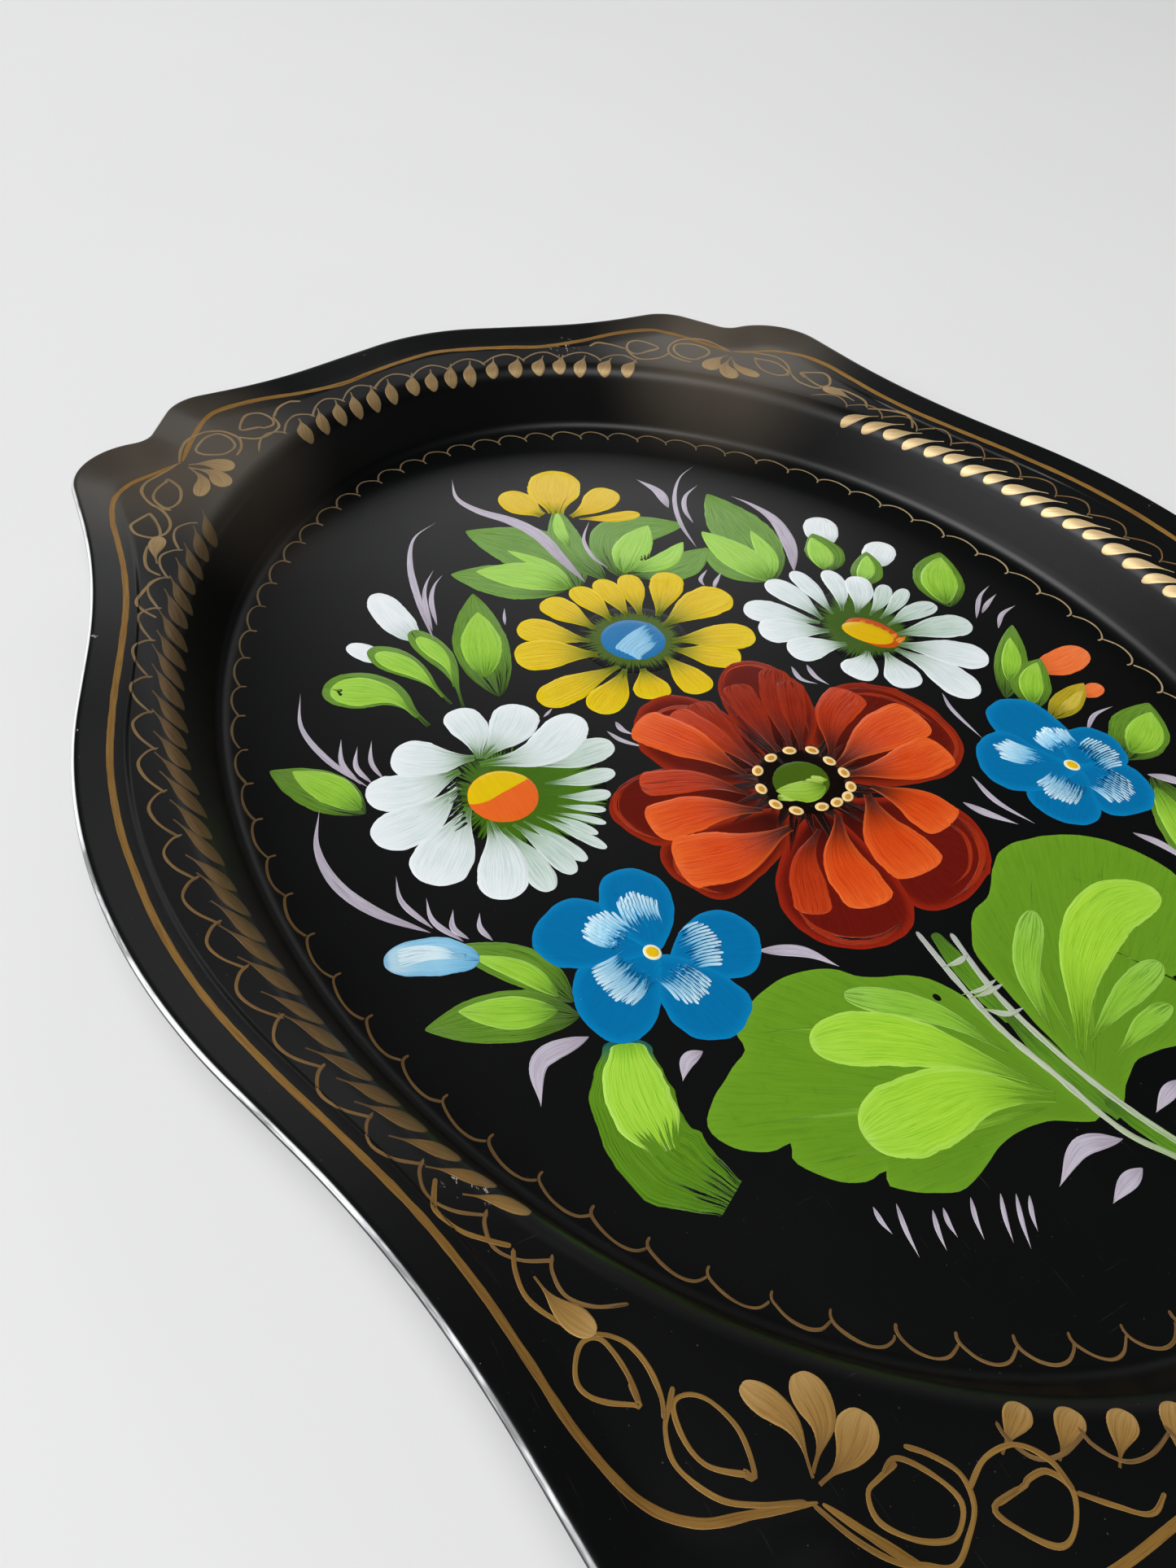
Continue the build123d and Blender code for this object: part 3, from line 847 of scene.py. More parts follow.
    seeds = [
        (15.3, 14.8), (21.3, 16.6), (27.1, 17.4), (32.6, 15.6), (35.4, 12.2), (35.9, 7.9), (35.4, 2.9),
        (33.4, -4.6), (28.8, -8.4), (21.9, -8.5), (15.4, -5.1), (12.6, 1.6), (12.5, 8.5)]
    for x, y in seeds:
        lean = degrees(atan2(y - heart[1], x - heart[0])) + 90
        dab(canvas, seedRing, x, y, 2.15, 1.65, lean)
        dab(canvas, seedHeart, x + 0.2, y - 0.1, 1.2, 0.85, lean)
    hangUp(canvas, "redPoppy", "red_paint", "red_poppy")


# yellow flowers
def paintYellow():
    canvas = newCanvas(5)
    middle = (-53.0, -6.0)
    moss = brushOf((88, 112, 16), (70, 96, 14), load=(1, 1, 0.1), radial=20.0, rootAt=middle, thick=0.02)
    paintPatch(canvas, moss, middle, ovalPoints(*middle, 17.5, 18.5), rings=7, around=60)
    petal = brushOf((224, 190, 2), (124, 132, 8), tip=(228, 198, 4), edge=(234, 208, 18), edgeWidth=0.2,
                    edgeShare=0.6, rootEnd=0.62, load=(0.42, 1.1, 1.1), under=(82, 104, 14), thick=0.08)
    strokeAll(canvas, "petal", petal, [
        (11.5, (-60, 8), (-70, 17), (-80, 25)), (9, (-63, 3), (-74, 7), (-85, 11)),
        (9, (-64, -1), (-75, 0), (-86.5, 0.5)), (9.5, (-64, -7), (-75, -8), (-86, -9.5)),
        (11.5, (-63, -14), (-73, -18), (-84, -22)), (12.5, (-58, -19), (-66, -28), (-75, -36.5)),
        (15, (-51, -20), (-57, -32), (-60.5, -45)), (12, (-43, -17), (-41, -32), (-38, -48)),
        (11.5, (-41, -16), (-33, -25), (-27.5, -35)), (12, (-39, -11), (-31, -13), (-24.5, -15)),
        (11.5, (-41, -1), (-31, 0), (-20.5, 0.5)), (12.5, (-43, 3), (-36, 12), (-30, 21)),
        (13.5, (-47, 5), (-43, 18), (-38, 32)), (15.5, (-55, 7), (-59, 22), (-61.5, 37)),
    ])
    sky = brushOf((44, 134, 190), (36, 118, 176), load=(1, 1, 0.9), thick=0.09)
    paintPatch(
        canvas, sky, middle, ovalPoints(-52.8, -6, 10.4, 10.7, 0), radians(-60), rings=5, around=40)
    pale = brushOf((150, 202, 232), (92, 168, 214), under=(44, 134, 190), load=(0.4, 1, 0.8), thick=0.1)
    strokeAll(canvas, "slim", pale, [
        (2.4, (-58 + 1.9 * k, 3.6 - 0.5 * k), (-54.5 + 1.8 * k, -6 - 0.4 * k),
         (-50.5 + 1.5 * k, -13.6 + 0.8 * k))
        for k in range(6)])
    hangUp(canvas, "yellowAster", "yellow_paint", "yellow_aster")

    canvas = newCanvas(6)
    side = brushOf((222, 186, 2), (168, 158, 8), tip=(226, 194, 4), edge=(236, 208, 22), edgeWidth=0.2,
                   edgeShare=0.6, rootEnd=0.3, load=(0.6, 1, 1), thick=0.10)
    strokeAll(canvas, "broad", side, [(20, (-129, 7), (-142, 13), (-155.5, 22)),
                                      (13.5, (-130, 2), (-140, -2), (-150, -2.5))])
    strokeAll(canvas, "petal", side, [(13, (-125, 11), (-128.5, 23), (-136, 34)),
                                      (6.5, (-122.5, 13), (-118.5, 24), (-116.5, 35.5))])
    hangUp(canvas, "sideYellowFlower", "yellow_paint", "side_yellow_flower")


# daisies
def paintDaisies():
    canvas = newCanvas(7)
    middle = (-22.0, 68.0)
    grass = brushOf(
        (74, 110, 26), (60, 92, 20), load=(1, 1, 0.15), radial=22.0, rootAt=middle, thick=0.02)
    paintPatch(
        canvas, grass, (-24, 68),
        [(-8, 70), (-12, 80), (-22, 84), (-36, 84), (-48, 80), (-47, 70), (-43, 60), (-34, 53),
         (-22, 50), (-12, 54)],
        rings=7, around=60)
    white = brushOf(
        (222, 232, 232), (150, 176, 150), tip=(236, 242, 244), edge=(240, 246, 248), edgeWidth=0.18,
        edgeShare=0.6, rootEnd=0.55, load=(0.34, 0.98, 1.1), under=(84, 120, 60), thick=0.10)
    thin = brushOf((196, 214, 204), (120, 156, 110), tip=(214, 226, 222), edge=(222, 232, 228),
                   edgeWidth=0.2, rootEnd=0.6, load=(0.35, 0.9, 0.95), under=(84, 120, 60), thick=0.08)
    strokeAll(canvas, "petal", white, [
        (8, (-36, 67), (-47, 74), (-58, 77)), (7.5, (-36, 63), (-50, 65), (-62.5, 65.5)),
        (9.5, (-33, 71), (-41, 79), (-50.5, 84.5)),
        (10.5, (-35, 58), (-48, 57), (-61.5, 54)), (12.5, (-34, 56), (-44, 46), (-52, 37)),
        (13, (-29, 56), (-35, 45), (-38.5, 34)), (12, (-21, 57), (-24, 47), (-25, 36.5)),
        (12, (-15, 61), (-10, 55), (-7, 47.5)), (12, (-12, 66), (-4, 64), (6, 61.5)),
        (13.5, (-12, 70), (2, 76), (18.5, 77.5)), (14, (-14, 72), (-5, 83), (6, 95)),
    ])
    strokeAll(canvas, "petal", thin, [
        (6, (-30, 74), (-35, 83), (-42, 91)), (5.5, (-27, 76), (-31, 86), (-37, 96)),
        (8, (-23, 76), (-25, 88), (-25.5, 99.5)), (12, (-18, 75), (-15, 90), (-12, 103.5)),
    ])
    dab(
        canvas, brushOf((216, 110, 34), (196, 84, 24), load=(1, 1, 0.8), thick=0.09), -22.2, 68.8, 10.0,
        6.6, 24)
    strokeAll(
        canvas, "slim",
        brushOf((226, 140, 44), (206, 96, 26), under=(190, 84, 24), thick=0.1, load=(0.9, 0.9, 0.5)),
        [(2.0, (-28.5 + 2.6 * k, 71 + 1.3 * k), (-27.5 + 2.6 * k, 67 + 1.2 * k)) for k in range(6)])
    dab(canvas, brushOf((232, 196, 10), (222, 180, 8), thick=0.12), -22.6, 67.0, 8.9, 5.0, 36)
    hangUp(canvas, "upperDaisy", "white_paint", "upper_daisy")

    canvas = newCanvas(8)
    middle = (-8.0, -75.5)
    grass = brushOf(
        (78, 124, 24), (64, 104, 18), load=(1, 1, 0.3), radial=22.0, rootAt=middle, thick=0.02)
    paintPatch(
        canvas, grass, (-4, -68),
        [(16, -66), (12, -56), (5, -49), (-4, -46), (-13, -48), (-21, -56), (-27, -70), (-26, -80),
         (-18, -88), (-4, -91), (8, -86), (15, -77)],
        rings=7, around=60)
    white["under"] = thin["under"] = tone(78, 124, 24)
    strokeAll(canvas, "petal", thin, [
        (10.5, (-17, -66), (-13.5, -52), (-13, -37)), (6, (-7, -63), (-4, -53), (-2.5, -42.5)),
        (4.6, (-1, -62), (2.5, -55), (4.5, -48)), (2.8, (2, -64), (6, -58), (9.5, -52.5)),
        (2.6, (4, -66), (9, -60), (14, -55)), (2.8, (4, -68), (10, -63), (16.5, -59)),
        (3.6, (3, -71), (12, -65), (22, -59.5)), (4.6, (3, -75), (13, -70.5), (23.5, -66.5)),
        (6.4, (3, -78), (14, -74), (26, -71.5)), (7.8, (3, -81), (15, -80), (28.5, -80)),
    ])
    strokeAll(canvas, "petal", white, [
        (14, (-22, -76), (-19, -58), (-28, -40)), (14.5, (-24, -74), (-31, -62), (-40, -53.5)),
        (12, (-24, -75), (-35, -72), (-46.5, -72.5)), (15.5, (-25, -76), (-29, -87), (-36, -97)),
        (14, (-22, -82), (-20.5, -96), (-24.5, -109.5)), (14.5, (-16, -85), (-9.5, -99), (-8, -114)),
        (16, (-8, -86), (2, -96), (12.5, -107)), (13.5, (-1, -83), (12, -86), (25.5, -92.5)),
    ])
    strokeAll(
        canvas, "flick", brushOf((24, 36, 18), load=(0.9, 0.6, 0.1), under=(210, 222, 216), thick=0.02),
        [(1.2, (-19 + 2.0 * k, -84 - 0.6 * k), (-17 + 2.0 * k, -88.5 - 0.8 * k)) for k in range(9)])
    dab(canvas, brushOf((236, 112, 40), (232, 104, 36), thick=0.11), -7.8, -75.6, 10.2, 10.0)
    halfHeart = [
        (-7.8 + 9.9 * cos(radians(t)), -75.6 + 9.7 * sin(radians(t))) for t in range(108, 276, 12)]
    paintPatch(canvas, brushOf((234, 202, 16), (228, 192, 12), thick=0.04), (-12.4, -76),
               halfHeart + [(-7.6, -81), (-8.7, -75.6), (-9.8, -70)], rings=4, around=40)
    hangUp(canvas, "lowerDaisy", "white_paint", "lower_daisy")


def paintBuds():
    canvas = newCanvas(9)
    bud = brushOf((232, 238, 240), (196, 208, 206), tip=(240, 244, 246), load=(0.8, 1, 1), thick=0.1)
    strokeAll(canvas, "bud", bud, [
        (13, (-71, 87), (-79, 91), (-86.5, 97)), (12, (-52, 96), (-58, 101), (-62.5, 108.5))])
    hangUp(canvas, "upperWhiteBuds", "white_paint", "upper_white_buds")
    canvas = newCanvas(10)
    strokeAll(canvas, "bud", bud, [(11.5, (-82, -69.5), (-96, -71), (-110.5, -71.5)),
                                   (7.5, (-76, -82), (-83, -86), (-88.5, -89.5))])
    hangUp(canvas, "lowerWhiteBuds", "white_paint", "lower_white_buds")
    canvas = newCanvas(11)
    orange = brushOf((240, 122, 62), (220, 104, 48), tip=(242, 130, 72), load=(0.9, 1, 1), thick=0.1)
    strokeAll(canvas, "bud", orange, [
        (12, (17, 106), (17.5, 117), (15.5, 129)), (6, (33, 110), (32.5, 115), (31.5, 119.5))])
    hangUp(canvas, "orangeBuds", "orange_paint", "orange_buds")


# blue flowers
def paintBlue():
    flat = brushOf((4, 126, 184), (4, 112, 168), edge=(10, 136, 194), edgeWidth=0.2, edgeShare=0.6,
                   load=(1.6, 1.6, 1.4), thick=0.06, wobble=0.035)
    pale = brushOf((168, 214, 236), (86, 170, 214), tip=(206, 234, 246), under=(4, 124, 182),
                   load=(0.25, 0.85, 0.6), thick=0.09, rootEnd=0.7)

    def blueFlower(canvas, heart, petals, lights):
        for points in petals:
            middle = Vector((0, 0))
            for p in points:
                middle += Vector(p) / len(points)
            grain = atan2(middle.y - heart[1], middle.x - heart[0])
            paintPatch(canvas, flat, tuple(middle), points, grain, rings=7, around=56)
        for root, tip, width, count in lights:
            a, b = Vector(root), Vector(tip)
            side = Vector((-(b - a).y, (b - a).x)).normalized()
            for k in range(count):
                v = (k + 0.5) / count * 2 - 1
                start = a + side * v * width * 0.4 + (b - a) * (0.1 + 0.2 * canvas["chance"].random())
                end = b + side * v * width * 0.5 - (b - a) * (
                    0.22 * v * v + 0.1 * canvas["chance"].random())
                end += side * 0.9
                mid = (start + end) / 2 + side * 0.5
                brushStroke(
                    canvas, "slim", pale, width / count * 0.85, [tuple(start), tuple(mid), tuple(end)])
        dab(canvas, brushOf((240, 236, 200), thick=0.09), *heart, 2.5, 2.2, 20)
        dab(canvas, brushOf((232, 190, 20), thick=0.06), heart[0], heart[1], 1.7, 1.5, 20)

    canvas = newCanvas(12)
    blueFlower(
        canvas, (55, 82),
        [[(56, 84), (48, 92), (38, 93.5), (28, 92), (22.5, 84), (24.5, 76), (31, 72), (40, 72.5),
          (50, 78)],
         [(58, 84), (63, 92), (61.5, 99), (56, 102.5), (50, 103), (44.5, 99.5), (43, 92), (47, 86),
          (52, 83)],
         [(57, 80), (66, 76), (74, 76), (78, 82), (78.5, 90), (74, 96), (67, 98.5), (61, 97), (57, 90)],
         [(54, 80), (56, 68), (57, 61), (63, 59), (70, 61), (75, 67), (74, 74), (67, 79), (59, 83)],
         [(57, 82), (44, 78), (35, 75), (33, 69), (36, 61), (42, 56.5), (48, 55), (55, 58), (59, 66),
          (59, 76)]],
        [((51, 86), (38.5, 87.5), 13, 13), ((56, 86), (56, 100), 14, 15),
         ((60, 84), (74, 86.5), 13, 14), ((58, 79), (61.5, 65), 13, 13), ((52, 77), (36.5, 67), 10, 7)])
    hangUp(canvas, "upperBlueFlower", "blue_paint", "upper_blue_flower")

    canvas = newCanvas(13)
    blueFlower(
        canvas, (57, -67),
        [[(60, -64), (53.5, -55), (52, -48), (55, -42), (62, -39.5), (69, -42), (73.5, -48), (72, -55),
          (66, -62)],
         [(58, -67), (64, -59), (73, -54), (80, -53), (85, -58), (86.5, -64), (83, -71), (76, -73.5),
          (66, -72)],
         [(57, -66), (66, -70), (74, -76), (77, -83), (75, -89), (68, -92), (60, -91), (53, -86),
          (52, -76)],
         [(57, -66), (55, -80), (51, -89), (45, -92.5), (39, -91.5), (34, -85), (32.5, -77), (37, -71),
          (46, -68)],
         [(57, -66), (48, -71), (38, -71), (30.5, -66), (30.5, -58), (36, -53), (43, -52.5), (50, -56),
          (55, -61)]],
        [((60, -62), (62.5, -49.5), 15, 14), ((61, -67), (75.5, -64), 11, 11),
         ((58.5, -70), (61, -85), 15, 14), ((53.5, -70), (39.5, -75), 12, 11),
         ((52, -64.5), (38, -60), 11, 11)])
    hangUp(canvas, "lowerBlueFlower", "blue_paint", "lower_blue_flower")

    canvas = newCanvas(14)
    bud = brushOf((150, 204, 232), (110, 178, 216), tip=(196, 226, 240), edge=(120, 186, 222),
                  load=(0.7, 1, 1), thick=0.1, under=(20, 110, 170))
    strokeAll(canvas, "bud", bud, [(11.6, (40, -106), (34, -115), (30, -127))])
    strokeAll(
        canvas, "slim",
        brushOf(
            (214, 236, 244), (150, 204, 232), under=(130, 192, 224), load=(0.3, 0.8, 0.7), thick=0.1),
        [(1.6, (38 - 0.4 * k, -109 + 0.2 * k), (34 - 1.1 * k, -116), (32.5 - 1.3 * k, -124 + 0.4 * k))
         for k in range(4)])
    hangUp(canvas, "lightBlueBud", "blue_paint", "light_blue_bud")


# leaves
def paintLeaves():
    mid = brushOf((106, 150, 58), (74, 108, 40), tip=(112, 156, 62), edge=(120, 164, 70), edgeWidth=0.2,
                  edgeShare=0.5, load=(0.6, 1, 0.85), thick=0.07)
    olive = brushOf((98, 140, 42), (66, 98, 30), tip=(104, 146, 48), load=(0.55, 1, 0.8), thick=0.07)
    lime = brushOf(
        (158, 208, 82), (120, 168, 60), tip=(166, 214, 92), edge=(176, 222, 106), edgeWidth=0.22,
        edgeShare=0.6, load=(0.5, 1, 0.9), under=(104, 148, 56), thick=0.12)
    freshLime = brushOf(
        (150, 200, 62), (110, 160, 42), tip=(160, 208, 74), edge=(172, 218, 92), edgeWidth=0.22,
        edgeShare=0.6, load=(0.5, 1, 0.8), under=(96, 138, 42), thick=0.12)

    canvas = newCanvas(20)
    strokeAll(canvas, "leaf", mid, [
        (13, (-61, 55), (-74, 47), (-88, 45)), (24, (-61, 57), (-88, 63), (-118, 66.5))])
    strokeAll(canvas, "leaf", lime, [
        (7.5, (-62, 56), (-74, 63), (-90, 67)), (14.5, (-61, 54), (-78, 53), (-97, 50))])
    strokeAll(canvas, "leaf", olive, [
        (14.5, (-57, 77), (-66, 83), (-79, 87)), (11.5, (-45, 82), (-52, 91), (-61, 98))])
    strokeAll(canvas, "leaf", lime, [
        (9, (-58.5, 76.5), (-66, 81), (-77, 85)), (6.5, (-47, 84), (-52.5, 91), (-59, 96.5))])
    strokeAll(canvas, "leaf", olive, [
        (18.5, (-22, 103), (-37, 111), (-49.5, 123)), (11, (23, 86), (9, 102), (-5, 116)),
        (13, (31, 90), (20, 100), (13, 111)), (18.5, (60.5, 99), (54, 112), (45, 127)),
        (16, (69, 101), (86, 94), (106, 80))])
    strokeAll(canvas, "leaf", freshLime, [
        (13, (-24, 103), (-36, 110.5), (-47, 121)), (6.5, (17, 93), (9, 102), (0, 110)),
        (8, (29, 91.5), (20, 100), (14, 108.5)), (11.5, (59, 103), (55.5, 113), (48.5, 124)),
        (9, (73, 98), (87, 91.5), (101, 83))])
    amber = brushOf((176, 158, 34), (120, 116, 24), tip=(190, 164, 40), load=(0.6, 1, 0.9), thick=0.08)
    strokeAll(canvas, "leaf", amber, [(9.5, (36.5, 92), (33, 103), (28.5, 115))])
    strokeAll(
        canvas, "leaf",
        brushOf((206, 184, 70), (150, 140, 40), under=(170, 150, 34), load=(0.3, 0.9, 0.6), thick=0.09),
        [(4, (36, 96), (34, 104), (31, 112))])
    hangUp(canvas, "upperLeaves", "green_paint", "upper_leaves")

    canvas = newCanvas(21)
    strokeAll(canvas, "leaf", mid, [
        (21, (-85, 8), (-107, 22), (-104, 47)), (15, (-85, 12), (-82, 30), (-87, 46)),
        (27, (-84, -9), (-108, -10), (-132, -28)), (20, (-86, -12), (-100, -30), (-110, -44)),
        (13, (-85, 2.5), (-108, 1), (-133, 9))])
    strokeAll(canvas, "leaf", lime, [
        (13.5, (-86, 10.5), (-97, 20), (-108.5, 34)), (8.5, (-85.5, 14), (-87, 28), (-94, 40)),
        (6, (-86, -10), (-100, -12), (-115, -20)), (15.5, (-86, -11), (-97, -19), (-108, -35.5)),
        (5, (-108, 1), (-118, 3), (-130, 8))])
    strokeAll(
        canvas, "flick", brushOf((18, 24, 12), under=(140, 190, 80), load=(0.8, 0.5, 0.1), thick=0.02),
        [(1.1, (-90, 20 + 1.4 * k), (-93.5, 22 + 1.5 * k)) for k in range(3)])
    hangUp(canvas, "middleLeaves", "green_paint", "middle_leaves")

    canvas = newCanvas(22)
    strokeAll(canvas, "leaf", olive, [
        (18, (-46, -57.5), (-70, -52), (-97, -42)), (15, (-18, -112), (-31, -119), (-45, -129.5)),
        (12, (61, -91.5), (47, -97), (33, -110.5)), (15, (65, -92), (57.5, -107), (52, -126))])
    strokeAll(canvas, "drop", olive, [
        (9.5, (-46, -69.5), (-66, -65.5), (-87, -68.5)), (11, (-49, -72), (-66, -75), (-84, -84)),
        (17, (-43, -82), (-61, -87), (-72, -104))])
    strokeAll(canvas, "leaf", freshLime, [
        (13, (-56, -57.5), (-71, -51.5), (-87, -45)), (10.5, (-20, -112.5), (-31, -117), (-42, -124)),
        (6, (58, -94), (48, -98), (38, -107)), (9.5, (61.5, -96), (57, -106), (51, -117))])
    strokeAll(canvas, "drop", freshLime, [
        (6, (-56, -68), (-68, -65.5), (-83, -68)), (8, (-53, -73), (-67, -75.5), (-81, -83)),
        (13, (-48, -83.5), (-61, -88), (-70.5, -102))])
    strokeAll(
        canvas, "flick", brushOf((30, 40, 16), under=(140, 190, 60), load=(0.8, 0.5, 0.1), thick=0.02),
        [(1.6, (-68.5, -99), (-71, -102)), (1.2, (-66.5, -100), (-70, -100.5))])
    # the long leaf laid with one flat brush, dry at its far end
    flatBrush = brushOf((92, 138, 30), (6, 92, 92), tip=(84, 130, 26), rootEnd=0.16, load=(1, 1, 0.5),
                        thick=0.09, wobble=0.12)
    strokeAll(canvas, "band", flatBrush, [(20, (75.5, -85.5), (90, -92.5), (104, -94), (119.5, -86))])
    flatLime = brushOf(
        (164, 214, 66), (130, 186, 50), tip=(150, 200, 52), edge=(186, 228, 104), edgeWidth=0.2,
        rootEnd=0.2, under=(92, 138, 30), load=(0.9, 1, 0.28), thick=0.14, wobble=0.1)
    strokeAll(canvas, "band", flatLime, [(14.5, (76.5, -86), (89, -91), (104, -92.5))])
    hangUp(canvas, "lowerLeaves", "green_paint", "lower_leaves")

    canvas = newCanvas(23)
    root = (140, 1)
    ground = brushOf((104, 152, 34), (98, 144, 34), edge=(112, 160, 40), edgeWidth=0.12, edgeShare=0.5,
                     radial=30.0, rootAt=root, reach=90.0, load=(1.6, 1.6, 1.4), thick=0.06, wobble=0.01)
    paintPatch(
        canvas, ground, (110, -34),
        [(143, 0), (138, -12), (137, -23), (139.5, -32), (141.5, -40), (139, -47), (133.5, -54.5),
         (130, -53), (130, -58), (127, -64), (119, -69.5), (115, -67.5), (114.5, -73), (110, -79.5),
         (103.5, -82), (98, -77), (93, -68), (90.5, -63), (84, -61), (79, -50), (78, -40), (81, -30),
         (87, -24), (92, -13), (98, -7.5), (108, -4), (124, -3)],
        rings=12, around=130)
    paintPatch(
        canvas, ground, (104, 36),
        [(143, 5), (139.5, 12), (136.5, 20), (138, 30), (138.5, 37), (134, 44), (128, 48),
         (123.5, 46.5), (123.5, 52), (119, 62), (110, 71), (99, 75.8), (89, 73), (80, 67), (73.5, 57),
         (70.5, 46), (70.5, 38), (74.5, 31), (81, 23), (84, 15), (89, 9.5), (96, 5.5), (110, 4.5),
         (126, 4.5)],
        rings=12, around=130)
    vein = brushOf((120, 168, 46), (96, 140, 34), load=(0.5, 0.8, 0.3), under=(100, 148, 34), thick=0.04)
    strokeAll(canvas, "lash", vein, [
        (2.4, (134, -5), (112, -18), (95, -42), (88, -58)), (2.2, (135, -6), (120, -38), (106, -76)),
        (2.0, (136, -6), (128, -40), (121, -66)), (2.2, (134, 7), (112, 30), (86, 62)),
        (1.8, (132, 7), (104, 18), (80, 40))])
    bright = brushOf(
        (162, 212, 58), (116, 166, 40), tip=(164, 214, 66), edge=(182, 226, 96), edgeWidth=0.22,
        edgeShare=0.6, load=(0.45, 1, 0.85), under=(104, 152, 34), thick=0.14, rootEnd=0.5)
    soft = brushOf(
        (140, 192, 60), (110, 158, 40), tip=(148, 198, 78), edge=(160, 206, 92), edgeWidth=0.25,
        load=(0.35, 0.85, 0.6), under=(104, 152, 34), thick=0.10)
    strokeAll(canvas, "petal", soft, [
        (8, (120, -7), (103, -16), (89, -32)), (7.5, (122, 6), (105, 14), (91, 30)),
        (7.5, (127, 13), (122, 30), (118.5, 47.5)), (5.5, (133, 16), (130, 28), (129, 39.5))])
    strokeAll(canvas, "petal", bright, [
        (15, (128, -8), (111, -22), (102, -34), (96.5, -48)),
        (19, (134, -6), (124.5, -22), (122.5, -38), (121.5, -52)),
        (16, (128, 9), (110, 28), (100, 48), (101.5, 66))])
    strokeAll(
        canvas, "band",
        brushOf(
            (92, 140, 36), (72, 112, 30), tip=(82, 126, 36), load=(0.6, 1.0, 0.9), thick=0.06,
            under=(70, 110, 28)),
        [(5.5, (84.5, 1), (98, 0), (114, -0.5)), (6.5, (112, 0.5), (128, 1.5), (145, 4)),
         (5, (140, 4), (152, 8), (164, 12))])
    dab(canvas, brushOf((14, 16, 10), load=(1, 1, 1), thick=0.01), 100.3, -11.9, 1.2, 0.9, 10)
    hangUp(canvas, "pairedBigLeaf", "green_paint", "paired_big_leaf")


